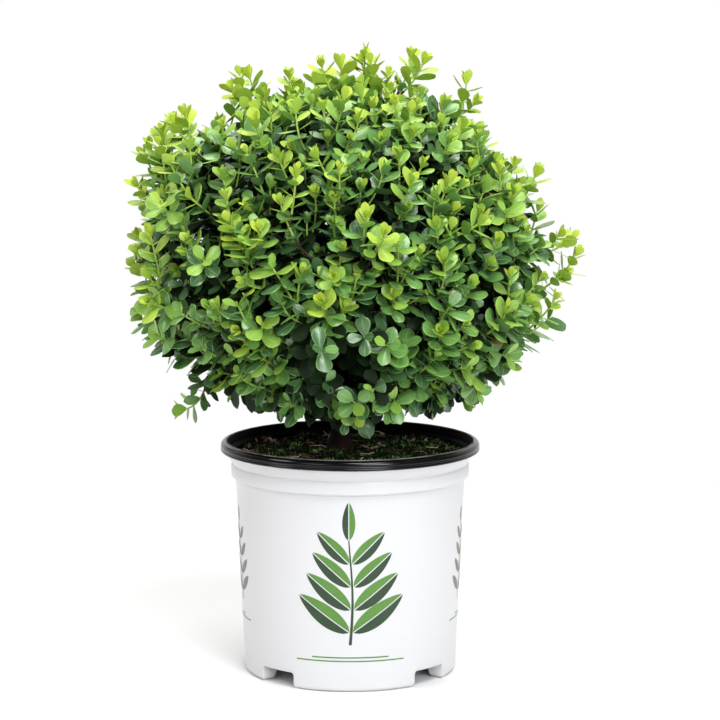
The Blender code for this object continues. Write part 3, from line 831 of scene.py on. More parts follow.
def makeBed():
    edge, low = mix["edgeRadius"], pot["floorTop"] + 0.3 * mm
    shoulder, shoulderZ = pot["wallTop"]
    wall = pot["wall"] + 0.3 * mm
    outline = [(wallRadius(low) - wall, low), (shoulder - wall, shoulderZ), (edge, 176.0 * mm)]
    outline.append((edge, mix["edgeHeight"] - 1.0 * mm))
    for i in range(mix["rings"]):
        outline.append((edge * (1.0 - i / mix["rings"]) + 0.2 * mm, mix["edgeHeight"]))
    bed = turnedPiece("mix_bed", outline, mix["sides"])
    for vert in bed.data.vertices:
        if vert.co.z > mix["edgeHeight"] - 0.5 * mm:
            vert.co.z = mixHeight(vert.co.x, vert.co.y)
    shadeByAngle(bed, 70.0)
    bed.data.materials.append(
        mottledFinish(
            "dark mix", (0.0016, 0.0018, 0.0014), (0.006, 0.005, 0.004), patches=260.0,
            grain=900.0, fine=0.8, relief=1.0, depth=1.2, roughness=(0.85, 1.0), shine=0.03,
        )
    )
    finishPiece(bed, ["potting_mix"])


def shapeArrays(piece):  # a small piece read into arrays, then taken away
    mesh = piece.data
    points = np.array([vert.co for vert in mesh.vertices])
    corners = np.array([c for face in mesh.polygons for c in face.vertices])
    sizes = np.array([len(face.vertices) for face in mesh.polygons])
    bpy.data.objects.remove(piece)
    return points, corners, sizes


def crumbShape(seed):  # a ball knocked out of round
    crumb = startWith(bpy.ops.mesh.primitive_ico_sphere_add, subdivisions=1, radius=1.0)
    editAll()
    bpy.ops.transform.vertex_random(offset=0.45, seed=seed)
    leaveEdit()
    return shapeArrays(crumb)


def chipShape(seed):  # a splinter of bark: a bar tapered and knocked out of true
    chip = startWith(bpy.ops.mesh.primitive_cube_add, size=2.0)
    editAll()
    bpy.ops.mesh.subdivide(number_cuts=1)
    selectPlaces(lambda co: co.x > 0.5)
    bpy.ops.transform.resize(value=(1.0, 0.45, 0.6), center_override=(1.0, 0.0, 0.0))
    bpy.ops.mesh.select_all(action="SELECT")
    bpy.ops.transform.vertex_random(offset=0.38, seed=seed)
    leaveEdit()
    return shapeArrays(chip)


def mixSpot(chance, reach=98.5 * mm):  # a random place on the mix, clear of the trunk
    while True:
        radius = reach * math.sqrt(chance.random())
        spot = facing(chance.uniform(0.0, 360.0)) * radius
        if (spot - mix["trunkFoot"]).length > mix["trunkClear"]:
            spot.z = mixHeight(spot.x, spot.y)
            return spot


# how much bark lies bare at a spot, the rest being mossy: more at the back on the left
def bareness(spot):
    patch = noise.noise(Vector((spot.x * 26.0, spot.y * 26.0, 5.0)))
    return patch + 4.5 * (spot.y * 0.8 - spot.x * 0.5) + 0.12


def mixFinish(name, main, other):
    return mottledFinish(
        name, main, other, patches=300.0, grain=1200.0, relief=0.8, depth=0.5,
        roughness=(0.8, 0.95), shine=0.05,
    )


def strewn(batch, shapes, pick, chance, count, size, lean, lift):
    for _ in range(count):
        spot = mixSpot(chance)
        points, corners, sizes = chance.choice(shapes)
        big = chance.uniform(0.5, 1.3)
        spin = Matrix.Rotation(chance.uniform(0.0, fullTurn), 3, "Z")
        tip = Matrix.Rotation(chance.gauss(0.0, lean), 3, "X")
        tip = tip @ Matrix.Rotation(chance.gauss(0.0, lean), 3, "Y")
        turned = np.array(spin @ tip) @ np.diag([big * s for s in size])
        spot.z += big * size[2] * lift
        batch.add(points @ turned.T + np.array(spot), corners, sizes, pick(spot))


def strewnFibres(batch, chance):
    for number in range(mix["fibres"][0] + mix["straws"][0]):
        straw = number < mix["straws"][0]
        _, heights, radii = mix["straws" if straw else "fibres"]
        middle = mixSpot(chance, 94.0 * mm)
        half = facing(chance.uniform(0.0, 360.0)) * chance.uniform(*mix["fibreHalf"]) * mm
        bow = facing(chance.uniform(0.0, 360.0)) * chance.uniform(*mix["fibreBow"]) * mm
        path = []
        for share in (-1.0, -0.35, 0.35, 1.0):
            spot = middle + half * share + bow * (1.0 - share * share)
            spot.z = 0.0
            if spot.length > 99.0 * mm:
                spot *= 99.0 * mm / spot.length
            rise = chance.uniform(*heights) * mm
            path.append(Vector((spot.x, spot.y, mixHeight(spot.x, spot.y) + rise)))
        batch.addTube(path, radii, 4, 4 if straw else chance.choice((1, 2, 2, 3)))
        if straw and number % 3 == 0:  # a side branch
            fork = path[2]
            end = fork + (path[3] - fork).cross(up) * 0.8 + up * 1.5 * mm
            middle = fork.lerp(end, 0.5) + up * 0.4 * mm
            batch.addTube([fork, middle, end], (0.4 * mm, 0.25 * mm), 4, 4)


def makeLitter():
    chance = random.Random(mix["litterSeed"])
    finishes = [
        mixFinish("dark crumbs", (0.002, 0.0018, 0.0016), (0.008, 0.006, 0.0045)),
        mixFinish("brown bark", (0.010, 0.007, 0.005), (0.030, 0.017, 0.011)),
        mixFinish("red bark", (0.060, 0.031, 0.024), (0.135, 0.076, 0.058)),
        mixFinish("pale bark", (0.42, 0.27, 0.22), (0.28, 0.19, 0.16)),
        mixFinish("straw", (0.60, 0.54, 0.38), (0.42, 0.34, 0.23)),
    ]

    def crumbTone(spot):
        return chance.choice((0, 0, 0, 1))

    def barkTone(spot):
        light = bareness(spot) + chance.uniform(-0.5, 0.5)
        return 3 if light > 0.70 else 2 if light > 0.25 else 1

    crumbs, chips = Batch(), Batch()
    strewn(crumbs, [crumbShape(seed) for seed in range(5)], crumbTone, chance, *mix["crumbs"])
    strewn(chips, [chipShape(seed) for seed in range(5)], barkTone, chance, *mix["chips"])
    strewnFibres(chips, chance)
    finishPiece(crumbs.piece("mix_crumbs", finishes, 40.0))
    finishPiece(chips.piece("mix_bark", finishes, 40.0))


def makeMoss():
    chance = random.Random(mix["mossSeed"])
    greenFrom, brightFrom = mix["mossTones"]
    lengths, clumpLength = mix["mossLength"]
    finishes = [
        mixFinish("dark moss", (0.003, 0.009, 0.003), (0.007, 0.021, 0.006)),
        mixFinish("green moss", (0.030, 0.085, 0.020), (0.060, 0.15, 0.034)),
        mixFinish("bright moss", (0.18, 0.36, 0.08), (0.26, 0.44, 0.12)),
    ]
    batch = Batch()
    for _ in range(mix["mossBlades"]):
        base = mixSpot(chance)
        if bareness(base) > chance.uniform(-0.1, 0.6):
            continue
        clump = noise.noise(Vector((base.x * 90.0, base.y * 90.0, 2.0)))
        base.z -= 0.4 * mm
        aside, back = chance.gauss(0.0, mix["mossLean"]), chance.gauss(0.0, mix["mossLean"])
        lean = Vector((aside, back, 1.0)).normalized()
        side, other = across(lean)
        width = chance.uniform(*mix["mossWidth"]) * mm
        ring = [base + (side * math.cos(a) + other * math.sin(a)) * width for a in (0.0, 2.1, 4.2)]
        tip = base + lean * (chance.uniform(*lengths) + clumpLength * max(0.0, clump)) * mm
        tone = clump * 1.9 + chance.gauss(-0.05, 0.40)
        slot = 2 if tone > brightFrom else 1 if tone > greenFrom else 0
        batch.add(np.array((*ring, tip)), (0, 1, 3, 1, 2, 3, 2, 0, 3, 2, 1, 0), (3, 3, 3, 3), slot)
    finishPiece(batch.piece("mix_moss", finishes, 80.0))


makeBed()
makeLitter()
makeMoss()
print("potting mix is made")


# the crown's shares and outline, as in the part's source
crown = {
    "fork": Vector((-3.0 * mm, 0.0, 262.0 * mm)),
    "centre": Vector((1.0 * mm, 0.0, 368.0 * mm)),
    "halfWidth": 184.0 * mm,
    "halfHeight": 162.0 * mm,
    "floor": 208.0 * mm,
    "blend": 9.0,
    "limbRoom": 54.0 * mm,
    "trunkRoom": 27.0 * mm,
    "margin": 0.5 * mm,
    "seed": 27,
    # elevation seen from the fork, first bearing, then names and fullness
    "rings": (
        (84.0, 30.0, {"top": 1.04}),
        (42.0, 270.0, {
            "upper_left": 1.15, "upper_front": 1.0, "upper_right": 0.96, "upper_back": 1.02,
        }),
        (0.0, 270.0, {
            "lower_left": 1.10, "lower_front_left": 0.99, "lower_front_right": 0.98,
            "lower_right": 1.07, "lower_back_right": 1.0, "lower_back_left": 1.03,
        }),
    ),
    # shoots that stand out of the ball: bearing, elevation, reach in mm
    "leaders": (
        (90, 87, 177), (80, 73, 188), (300, 80, 177), (262, 60, 188), (98, 56, 190),
        (275, 40, 196), (262, 25, 212), (268, 4, 194), (92, 4, 200), (84, 24, 184),
        (262, -40, 207), (97, -19, 194), (86, -47, 171), (272, -17, 199), (8, 10, 198),
        (352, -20, 188), (184, 6, 196), (20, 52, 180), (200, 58, 184),
    ),
    "leaderGap": 13.0,
    "branches": 124,
    "branchJitter": 0.07,
    "branchDepths": (0.95, 1.0),
    "branchLeaves": 24.0 * mm,
    "branchSlant": 0.75,
    "branchShares": (0.12, 0.97),  # along the stem, where branches may leave it
    "branchSag": 0.07,
    "branchRadius": 1.7 * mm,
    "stemReach": 0.62,
    "pull": 0.13,
    "pullTries": 4,
}

goldenAngle = math.pi * (3.0 - math.sqrt(5.0))


class Mass:
    def __init__(self, name, bearing, elevation, fullness, place):
        self.name = name
        self.fullness = fullness
        self.place = place
        self.axis = facing(bearing, elevation)
        self.foot = crown["fork"] + self.axis * crown["limbRoom"]
        farOut = crown["fork"] + self.axis * crown["halfWidth"]
        self.outward = (farOut - crown["centre"]).normalized()
        self.sides = []
        self.wood = []  # path, radii
        self.forks = []  # a place on the wood, the way it runs there
        self.leaves = {}

    def holds(self, point, margin):
        fromFork = point - crown["fork"]
        if any(fromFork.dot(side) < margin for side in self.sides):
            return False
        if fromFork.length < crown["limbRoom"] + margin or point.z < crown["floor"]:
            return False
        return point.z > crown["fork"].z or fromFork.xy.length > crown["trunkRoom"]

    def remember(self, path, share=1.0):
        count = max(2, int(len(path) * share))
        for a, b in zip(path[:count], path[1 : count + 1]):
            self.forks.append((a.lerp(b, 0.5), (b - a).normalized()))


def makeMasses():
    made = []
    for elevation, first, members in crown["rings"]:
        for i, (name, fullness) in enumerate(members.items()):
            made.append(Mass(name, first + 360.0 * i / len(members), elevation, fullness, i))
    for mass in made:
        mass.sides = [(mass.axis - other.axis).normalized() for other in made if other is not mass]
    return made


masses = makeMasses()


def crownReach(direction):
    ball = 1.0 / math.hypot(
        direction.xy.length / crown["halfWidth"], direction.z / crown["halfHeight"]
    )
    weights = [math.exp(crown["blend"] * direction.dot(mass.outward)) for mass in masses]
    full = sum(weight * mass.fullness for weight, mass in zip(weights, masses))
    return ball * full / sum(weights)


# directions spread evenly over the ball, each a little off its place
def spreadDirections(count, jitter, chance):
    for i in range(count):
        height = 1.0 - (2.0 * i + 1.0) / count
        ring = math.sqrt(1.0 - height * height)
        turn = goldenAngle * i
        direction = Vector((ring * math.sin(turn), -ring * math.cos(turn), height))
        direction += Vector([chance.uniform(-jitter, jitter) for _ in range(3)])
        yield direction.normalized()


def crowded(direction, leaders, gap):
    return any(direction.angle(leader) < math.radians(gap) for leader in leaders)


def nearestMass(point):
    fromFork = (point - crown["fork"]).normalized()
    return max(masses, key=lambda mass: fromFork.dot(mass.axis))


def branchTips():  # the same ends as in the part's source
    chance = random.Random(crown["seed"])
    leaders = [facing(bearing, elevation) for bearing, elevation, _ in crown["leaders"]]
    for direction, (_, _, reach) in zip(leaders, crown["leaders"]):
        yield crown["centre"] + direction * (reach * mm - crown["branchLeaves"])
    for direction in spreadDirections(crown["branches"], crown["branchJitter"], chance):
        depth = chance.uniform(*crown["branchDepths"])
        if not crowded(direction, leaders, crown["leaderGap"]):
            reach = crownReach(direction) * depth - crown["branchLeaves"]
            yield crown["centre"] + direction * reach


def stemEnd(mass):
    outline = crown["centre"] + mass.outward * crownReach(mass.outward)
    return mass.foot.lerp(outline, crown["stemReach"])


def branchPath(tip, mass, steps=3):
    stem = stemEnd(mass) - mass.foot
    along = stem.normalized()
    out = tip - mass.foot
    slant = crown["branchSlant"] * out.cross(along).length
    least, most = crown["branchShares"]
    start = mass.foot + stem * min(most, max(least, (out.dot(along) - slant) / stem.length))
    control = start.lerp(tip, 0.55) - up * (tip - start).length * crown["branchSag"]
    return bend(start, control, tip, steps)


def fittingPath(tip, mass):
    towards = mass.foot + mass.axis * (tip - mass.foot).length * 0.9
    for step in range(crown["pullTries"]):
        end = tip.lerp(towards, crown["pull"] * step)
        rough = branchPath(end, mass)
        if all(mass.holds(p, crown["margin"] + crown["branchRadius"]) for p in rough[1:]):
            return branchPath(end, mass, 6)
    return None


trunk = {
    "footX": -10.0 * mm,
    "sway": 2.0 * mm,
    "mixTop": 196.5 * mm,
    "bottom": 196.8 * mm,
    "top": 276.0 * mm,
    "radius": 9.0 * mm,
    "topRadius": 6.4 * mm,
    "flareRadius": 13.0 * mm,
    "flareHeight": 14.0 * mm,
    "sides": 28,
    "rings": 30,
    "boughRadii": (3.8 * mm, 2.5 * mm),
    "boughSides": 14,
    "boughSteps": 14,
    "boughSag": 0.06,
    "boughSway": 2.0 * mm,
    "starts": {"top": 273.0 * mm, "upper": 254.0 * mm, "lower": 221.0 * mm},
    "startStep": 8.0 * mm,
    "voxel": 0.9 * mm,
    "relief": 0.8 * mm,
    "ridges": (260.0, 55.0, 0.55),  # how many a metre round and up, share of the relief
    "knots": (95.0, 0.8),
    "plainFoot": 3.0 * mm,  # where the relief fades out
}


def trunkAxis(height):
    share = (height - trunk["mixTop"]) / (crown["fork"].z - trunk["mixTop"])
    sway = trunk["sway"] * math.sin(math.pi * min(1.0, max(0.0, share)))
    lean = crown["fork"].x - trunk["footX"]
    return Vector((trunk["footX"] + lean * share, sway, height))


def trunkRadius(height):
    share = (height - trunk["bottom"]) / (trunk["top"] - trunk["bottom"])
    nearFoot = max(0.0, 1.0 - (height - trunk["bottom"]) / trunk["flareHeight"])
    flare = (trunk["flareRadius"] - trunk["radius"]) * nearFoot**2
    return trunk["radius"] + (trunk["topRadius"] - trunk["radius"]) * share + flare


def boughPath(mass):
    height = trunk["starts"][mass.name.split("_")[0]] + trunk["startStep"] * (mass.place * 2 % 3)
    start = trunkAxis(height)
    end = mass.foot - mass.axis * 0.3 * mm
    drop = up * (end - start).length * trunk["boughSag"]
    control = start.lerp(end, 0.5) - mass.axis.cross(up) * trunk["boughSway"] - drop
    path = bend(start, control, end, trunk["boughSteps"])
    path[-2] = end - mass.axis * 0.03 * crown["limbRoom"]
    return path


def barkMove(vert):
    spot = vert.co
    around, upwards, ridgeShare = trunk["ridges"]
    count, knotShare = trunk["knots"]
    drawnOut = Vector((spot.x * around, spot.y * around, spot.z * upwards))
    ridges = 1.0 - 2.0 * abs(noise.noise(drawnOut))
    knots = noise.noise(spot * count)
    fade = min(1.0, max(0.0, (spot.z - trunk["bottom"]) / trunk["plainFoot"]))
    return vert.normal * trunk["relief"] * (ridgeShare * ridges + knotShare * knots) * fade


# limbs as tubes, grown together, then given ridges and knots
def makeWood():
    wood = startWith(
        bpy.ops.mesh.primitive_circle_add,
        vertices=trunk["sides"],
        radius=trunk["flareRadius"],
        location=trunkAxis(trunk["bottom"]),
    )
    wood.name = "wood"
    bpy.ops.object.transform_apply(location=True, rotation=True, scale=True)
    editAll()
    bpy.ops.mesh.edge_face_add()
    bpy.ops.mesh.select_all(action="SELECT")
    steps, tall = trunk["rings"], trunk["top"] - trunk["bottom"]
    heights = [trunk["bottom"] + tall * (i / steps) ** 1.3 for i in range(steps + 1)]
    for low, high in zip(heights, heights[1:]):
        step = trunkAxis(high) - trunkAxis(low)
        grow = trunkRadius(high) / trunkRadius(low)
        bpy.ops.mesh.extrude_region_move(TRANSFORM_OT_translate={"value": step})
        bpy.ops.transform.resize(value=(grow, grow, 1.0), center_override=trunkAxis(high))
    leaveEdit()
    limbs = Batch()
    for mass in masses:
        limbs.addTube(boughPath(mass), trunk["boughRadii"], trunk["boughSides"], 0)
    selectOnly(wood, limbs.piece("boughs", []))
    bpy.ops.object.join()
    applyModifier(wood, "REMESH", "grown together", mode="VOXEL", voxel_size=trunk["voxel"])
    wood.data.update()
    moves = [barkMove(vert) for vert in wood.data.vertices]
    for vert, move in zip(wood.data.vertices, moves):
        vert.co += move
    shadeByAngle(wood, 80.0)
    wood.data.materials.append(
        mottledFinish(
            "trunk bark", (0.008, 0.0045, 0.0035), (0.030, 0.014, 0.009), patches=150.0,
            stretch=(1.0, 1.0, 0.3), grain=420.0, fine=0.7, relief=0.9, depth=0.8,
            roughness=(0.75, 0.92), shine=0.15,
        )
    )
    finishPiece(wood, ["trunk"] + ["bough_" + mass.name for mass in masses])


makeWood()
print("trunk and boughs are made")


growth = {
    "seed": 32,
    "outerShoots": 540,
    "outerJitter": 0.05,
    "outerDepths": (0.87, 1.0),
    "outerGap": 5.0,
    "innerShoots": 640,
    "innerJitter": 0.08,
    "innerDepths": (0.46, 0.84),
    "lumps": ((0.07, 3.2), (0.06, 7.5)),  # share of the reach, how many over the ball
    # bearing, elevation, half width, depth
    "hollows": (
        (-13, 10, 10, 0.20), (-7, -31, 15, 0.25), (8, 24, 9, 0.18), (118, 5, 11, 0.20),
        (205, 20, 11, 0.20), (262, -8, 10, 0.14), (270, 47, 12, 0.15), (264, -48, 14, 0.18),
        (266, -38, 11, 0.12), (92, -31, 18, 0.14), (274, 52, 6, 0.08), (92, 61, 8, 0.10),
        (292, 45, 9, 0.08), (90, 40, 9, 0.04), (270, 12, 10, 0.05), (301, -46, 12, 0.06),
    ),
    # more shoots that stand out: bearing, elevation, reach in mm
    "outliers": (
        (272, 33, 203), (280, 37, 200), (262, 36, 202), (284, 30, 203), (258, 29, 204),
        (270, 71, 173), (265, 58, 191), (268, 54, 186), (80, 78, 167), (60, 83, 175), (90, 86, 183),
        (75, 69, 188), (94, -5, 198), (84, -12, 190), (97, -1, 208), (90, 5, 190),
        (268, -20, 196), (92, 51, 179), (270, 87, 172), (90, 13, 175), (92, 29, 171),
        (269, 18, 203), (266, 28, 208),
    ),
    # painted shade and painted light, as patches of darker and of lighter leaves: bearing,
    # elevation, half width, years of growth
    "patches": (
        (-7, -31, 21, 2.3), (38, -2, 14, 0.9), (150, -10, 18, 0.8), (230, 5, 16, 0.8),
        (-34, 15, 14, -1.1), (-36, -24, 18, -1.2), (-64, 4, 20, -0.9), (-52, -44, 14, -1.2),
        (-80, -36, 18, -1.3), (46, -36, 15, -0.8),
        (-16, 33, 14, -0.6), (24, 33, 12, -0.5), (185, 30, 20, -0.7), (125, -35, 16, -0.8),
        (0, 88, 40, -0.7),
    ),
    "clusterReach": 13.0 * mm,  # how far the last leaves stand past their shoot's end
    "leaderReach": 8.0 * mm,
    # shoots that droop over the mix: place of the end in mm, fall, painted shade and leaf size
    "lowEnds": (
        ((32, -92, 244), 0.1, 1.0, 1.12), ((-3, -72, 233), 0.3, 2.0, 1.0),
        ((-12, -66, 243), 0.2, 2.4, 0.95), ((9, -74, 239), 0.2, 2.0, 0.95),
        ((-40, -64, 238), 1.5, 1.8, 0.9), ((-60, -52, 239), 1.5, 1.7, 0.8),
        ((72, -36, 236), 0.5, 0.6, 0.85), ((-70, -44, 244), 0.2, 1.0, 0.9),
        ((-46, -68, 250), 0.2, 0.7, 0.9), ((-24, 62, 236), 0.6, 1.0, 1.0),
        ((40, 52, 238), 0.6, 1.0, 1.0),
    ),
    "plain": (0.35, 0.0, 1.0),  # the same values for every other shoot
    "lowest": 238.0 * mm,
    # leaders that end below a height hang, so much lower, with a fall, painted shade (below nought
    # painted light) and leaf size
    "drooping": 242.0 * mm,
    "hang": 12.0 * mm,
    "hanging": (-0.25, -0.8, 1.0),
    "branchShare": 0.72,  # of a branch of the source that stays bare wood
    "stemRadii": (2.5 * mm, 1.5 * mm),
    "branchRadii": (1.6 * mm, 1.0 * mm),
    "outerRadii": (1.15 * mm, 0.80 * mm),
    "innerRadii": (0.95 * mm, 0.6 * mm),
    "shortest": 38.0 * mm,
    # what a shoot's turn costs against its length, at its end and where it leaves the wood
    "turnCosts": (0.040, 0.022),
    "followWood": 0.28,
    # how a shoot ends: outwards, upwards at the foot of the crown, more at its top, at random
    "ending": (0.55, 0.30, 0.78, 0.28),
    "innerLift": 0.7,
    "heights": (210.0 * mm, 330.0 * mm),  # where the crown starts, how tall it is
    "flushShare": (0.14, 1.1),  # of the outer shoots: at the foot of the crown, more at its top
    "flushLeaders": 0.35,  # share of the crown's height from which leaders have new growth
    "shadePatches": (0.75, 16.0),  # years of growth, how many a metre
    "shadeJitter": 0.45,
    "leaderShade": (0.1, 0.4),  # at most with new growth, without it
}


# flush: its end is new growth; bias: how dark its leaves are against those around them
class Shoot:
    def __init__(self, mass, path, radii, flush, bias, kind, size=1.0):
        self.mass = mass
        self.path = path
        self.radii = radii
        self.flush = flush
        self.bias = bias
        self.kind = kind
        self.size = size


def growDirection(tip, chance, lift):
    radial = (tip - crown["centre"]).normalized()
    outwards, rise, more, wander = growth["ending"]
    rise += more * (0.5 + 0.5 * radial.z)
    astray = Vector([chance.uniform(-wander, wander) for _ in range(3)])
    return (radial * outwards + up * rise * lift + astray).normalized()


def feltFrom(spots, direction):  # each spot's value, fading out to its edge
    for bearing, elevation, width, value in spots:
        off = math.degrees(direction.angle(facing(bearing, elevation)))
        yield value * max(0.0, 1.0 - (off / width) ** 2)


def outerTips():
    chance = random.Random(growth["seed"])
    standing = crown["leaders"] + growth["outliers"]
    leaders = [facing(bearing, elevation) for bearing, elevation, _ in standing]
    for direction, (_, _, reach) in zip(leaders, standing):
        tip = crown["centre"] + direction * (reach * mm - growth["leaderReach"])
        if tip.z < growth["drooping"]:
            yield tip - up * growth["hang"], "leader", growth["hanging"]
        else:
            yield tip, "leader", growth["plain"]
    for place, *manner in growth["lowEnds"]:
        yield Vector(place) * mm, "low", manner
    for direction in spreadDirections(growth["outerShoots"], growth["outerJitter"], chance):
        depth = chance.uniform(*growth["outerDepths"])
        depth += sum(share * noise.noise(direction * count) for share, count in growth["lumps"])
        depth -= max(feltFrom(growth["hollows"], direction))
        if not crowded(direction, leaders, growth["outerGap"]):
            reach = crownReach(direction) * min(depth, 1.0) - growth["clusterReach"]
            yield crown["centre"] + direction * reach, "outer", growth["plain"]


def innerTips():
    chance = random.Random(growth["seed"] + 1)
    for direction in spreadDirections(growth["innerShoots"], growth["innerJitter"], chance):
        depth = chance.uniform(*growth["innerDepths"])
        depth *= 1.0 - max(feltFrom(growth["hollows"], direction))
        tip = crown["centre"] + direction * crownReach(direction) * depth
        yield tip, "inner", growth["plain"]


def growLimbs():  # stems and branches; gives the outer parts of the branches
    for mass in masses:
        end = stemEnd(mass)
        straight = mass.foot + mass.axis * 0.15 * crown["limbRoom"]
        path = [mass.foot - mass.axis * 1.0 * mm, straight]
        path += bend(straight, straight.lerp(end, 0.5) + up * 2.0 * mm, end, 9)[1:]
        mass.wood.append((path, growth["stemRadii"]))
        mass.remember(path)
    for tip in branchTips():
        mass = nearestMass(tip)
        path = fittingPath(tip, mass)
        if path:
            count = max(3, int(len(path) * growth["branchShare"]) + 1)
            mass.wood.append((path[:count], growth["branchRadii"]))
            mass.remember(path[:count])
            yield mass, path[count // 2 : count]


def nearestFork(mass, tip, grow):  # the best place to start from, the way it runs, the length
    best, bestCost = None, math.inf
    endCost, startCost = growth["turnCosts"]
    for point, runs in mass.forks:
        gap = tip - point
        length = gap.length
        if length < growth["shortest"]:
            continue
        way = gap / length
        cost = length + endCost * (1.0 - way.dot(grow)) + startCost * (1.0 - way.dot(runs))
        if cost < bestCost:
            best, bestCost = (point, runs, length), cost
    return best


def growShoots():
    grown = [Shoot(mass, path, None, False, 1.0, "inner") for mass, path in growLimbs()]
    chance = random.Random(growth["seed"] + 2)
    foot, tall = growth["heights"]
    leastFlush, moreFlush = growth["flushShare"]
    patchShade, patchCount = growth["shadePatches"]
    flushShade, leaderShade = growth["leaderShade"]
    tips = sorted(outerTips(), key=lambda t: (t[0] - crown["fork"]).length) + list(innerTips())
    for tip, kind, (fall, shade, size) in tips:
        if tip.z < growth["lowest"] and kind not in ("low", "leader"):
            continue
        mass = nearestMass(tip)
        if kind == "low" or kind == "leader" and tip.z < growth["drooping"]:
            grow = (Vector((tip.x, tip.y, 0.0)).normalized() - up * fall).normalized()
        else:
            grow = growDirection(tip, chance, growth["innerLift"] if kind == "inner" else 1.0)
        fork = nearestFork(mass, tip, grow)
        if not fork:
            continue
        start, runs, length = fork
        control = tip - grow * length * 0.5
        control = control.lerp(start + runs * length * 0.5, growth["followWood"])
        path = bend(start, control, tip, 8)
        height = (tip.z - foot) / tall
        if kind == "outer":
            flush = chance.random() < leastFlush + moreFlush * height
        else:
            flush = kind == "leader" and height > growth["flushLeaders"]
        bias = patchShade * noise.noise(tip * patchCount)
        bias += chance.uniform(-growth["shadeJitter"], growth["shadeJitter"])
        # painted shade under the crown for drooping shoots, painted light where it is below nought
        bias += shade
        if kind == "leader":
            bias = min(bias, flushShade) if flush else leaderShade + shade
        # painted shade and painted light from the patches
        bias += sum(feltFrom(growth["patches"], (tip - crown["centre"]).normalized()))
        radii = growth["innerRadii" if kind == "inner" else "outerRadii"]
        grown.append(Shoot(mass, path, radii, flush, bias, kind, size))
        mass.remember(path, 0.5)
    return grown


shoots = growShoots()
print(f"grown: {sum(len(mass.wood) for mass in masses)} branches and {len(shoots)} shoots")


# width against length, base taper, tip bluntness, edges up, pillow of each half, tip curl
leafForms = {
    "broad": (0.66, 0.70, 5.0, -0.06, 0.060, -0.12),
    "oval": (0.57, 0.62, 4.0, -0.02, 0.055, -0.07),
    "spoon": (0.57, 0.88, 4.2, 0.08, 0.030, 0.07),
    "young": (0.50, 0.80, 3.2, 0.15, 0.0, 0.10),
}

leafMesh = {
    # of a plain leaf, then of a fine one
    "stations": ((0.12, 0.40, 0.70, 0.92), (0.07, 0.24, 0.46, 0.68, 0.84, 0.93, 0.98)),
    "columns": ((-1.0, 0.0, 1.0), (-1.0, -0.86, -0.06, 0.06, 0.86, 1.0)),
    "thickness": 0.022,
    "ribDepth": 0.010,
}


# a blade one unit long, with an underside: points, corners, sizes, parts and map
def leafShape(form, fine):
    width, taper, blunt, fold, pillow, curl = form

    def widthAt(t):
        return t**taper * (1.0 - t**blunt)

    widest = max(widthAt(i / 50) for i in range(51))
    points, maps = [], []

    def put(s, t, under=False):
        swell = math.sin(math.pi * t)
        z = curl * t * t + fold * abs(s) ** 1.4 * swell
        z += pillow * (1.0 - (2.0 * abs(s) - 1.0) ** 2) * swell * 0.9
        if under:
            z -= leafMesh["thickness"] * (1.0 - s * s)
        elif fine and abs(s) < 0.2:
            z -= leafMesh["ribDepth"]
        points.append((s * (width / 2 * widthAt(t) / widest), t, z))
        maps.append((0.5 + 0.5 * s, t))
        return len(points) - 1

    points += [(0.0, 0.0, 0.0), (0.0, 1.0, curl)]
    maps += [(0.5, 0.0), (0.5, 1.0)]
    upper, lower = [], []
    for t in leafMesh["stations"][fine]:
        upper.append([put(s, t) for s in leafMesh["columns"][fine]])
        lower.append([upper[-1][0], put(0.0, t, under=True), upper[-1][-1]])
    faces, parts = [], []  # part 0 blade, 1 midrib and margin (the margin's lighter tone a painted edge highlight), 2 underside
    for rows, turned in ((upper, False), (lower, True)):
        strips = len(rows[0]) - 1
        for k in range(strips):
            strip = [(0, rows[0][k + 1], rows[0][k])]
            for near, far in zip(rows, rows[1:]):
                strip.append((near[k], near[k + 1], far[k + 1], far[k]))
            strip.append((rows[-1][k], rows[-1][k + 1], 1))
            faces += [face[::-1] if turned else face for face in strip]
            litEdgeOrRib = fine and k in (0, strips // 2, strips - 1)
            part = 2 if turned else 1 if litEdgeOrRib else 0
            parts += [part] * len(strip)
    corners = np.array([c for face in faces for c in face])
    sizes = np.array([len(face) for face in faces])
    return np.array(points), corners, sizes, np.array(parts), np.array(maps)[corners]


leafShapes = {}
for formName, form in leafForms.items():
    for fine in (True, False):
        leafShapes[formName, fine] = leafShape(form, fine)


# name: colour, roughness, shine; from new growth to deep shade, then what is dealt out apart
leafGreens = {
    "leaf lime": ((0.45, 0.58, 0.065), 0.48, 0.30),
    "leaf spring": ((0.34, 0.505, 0.062), 0.42, 0.36),
    "leaf fresh": ((0.238, 0.437, 0.070), 0.32, 0.6),
    "leaf green": ((0.138, 0.305, 0.076), 0.28, 0.75),
    "leaf deep": ((0.070, 0.158, 0.055), 0.26, 0.9),
    # near black with little shine: painted shade for leaves deep inside the crown
    "leaf shade": ((0.013, 0.026, 0.010), 0.38, 0.12),
    "leaf underside": ((0.10, 0.20, 0.060), 0.5, 0.4),
    "leaf tan": ((0.17, 0.11, 0.035), 0.6, 0.4),
}
shadeSlot, undersideSlot, tanSlot = 5, 6, 7  # the places of the last three


def leafFinish(name, colour, roughness, shine):
    made, tree, shader = newMaterial(name)
    shader.inputs["Base Color"].default_value = (*colour, 1.0)  # plain: it is dealt out by leaf
    shader.inputs["Roughness"].default_value = roughness
    shader.inputs["Specular IOR Level"].default_value = shine
    where = addNode(tree, "UVMap", uv_map="bladeMap")
    veins = placeEffect(tree, "veins", {"Count": 14.0})
    wire(tree, (where, "UV", veins, "Map"))
    addRelief(tree, shader, veins, 0.4, 0.12 * mm)
    return made


leafFinishes = [leafFinish(name, *look) for name, look in leafGreens.items()]


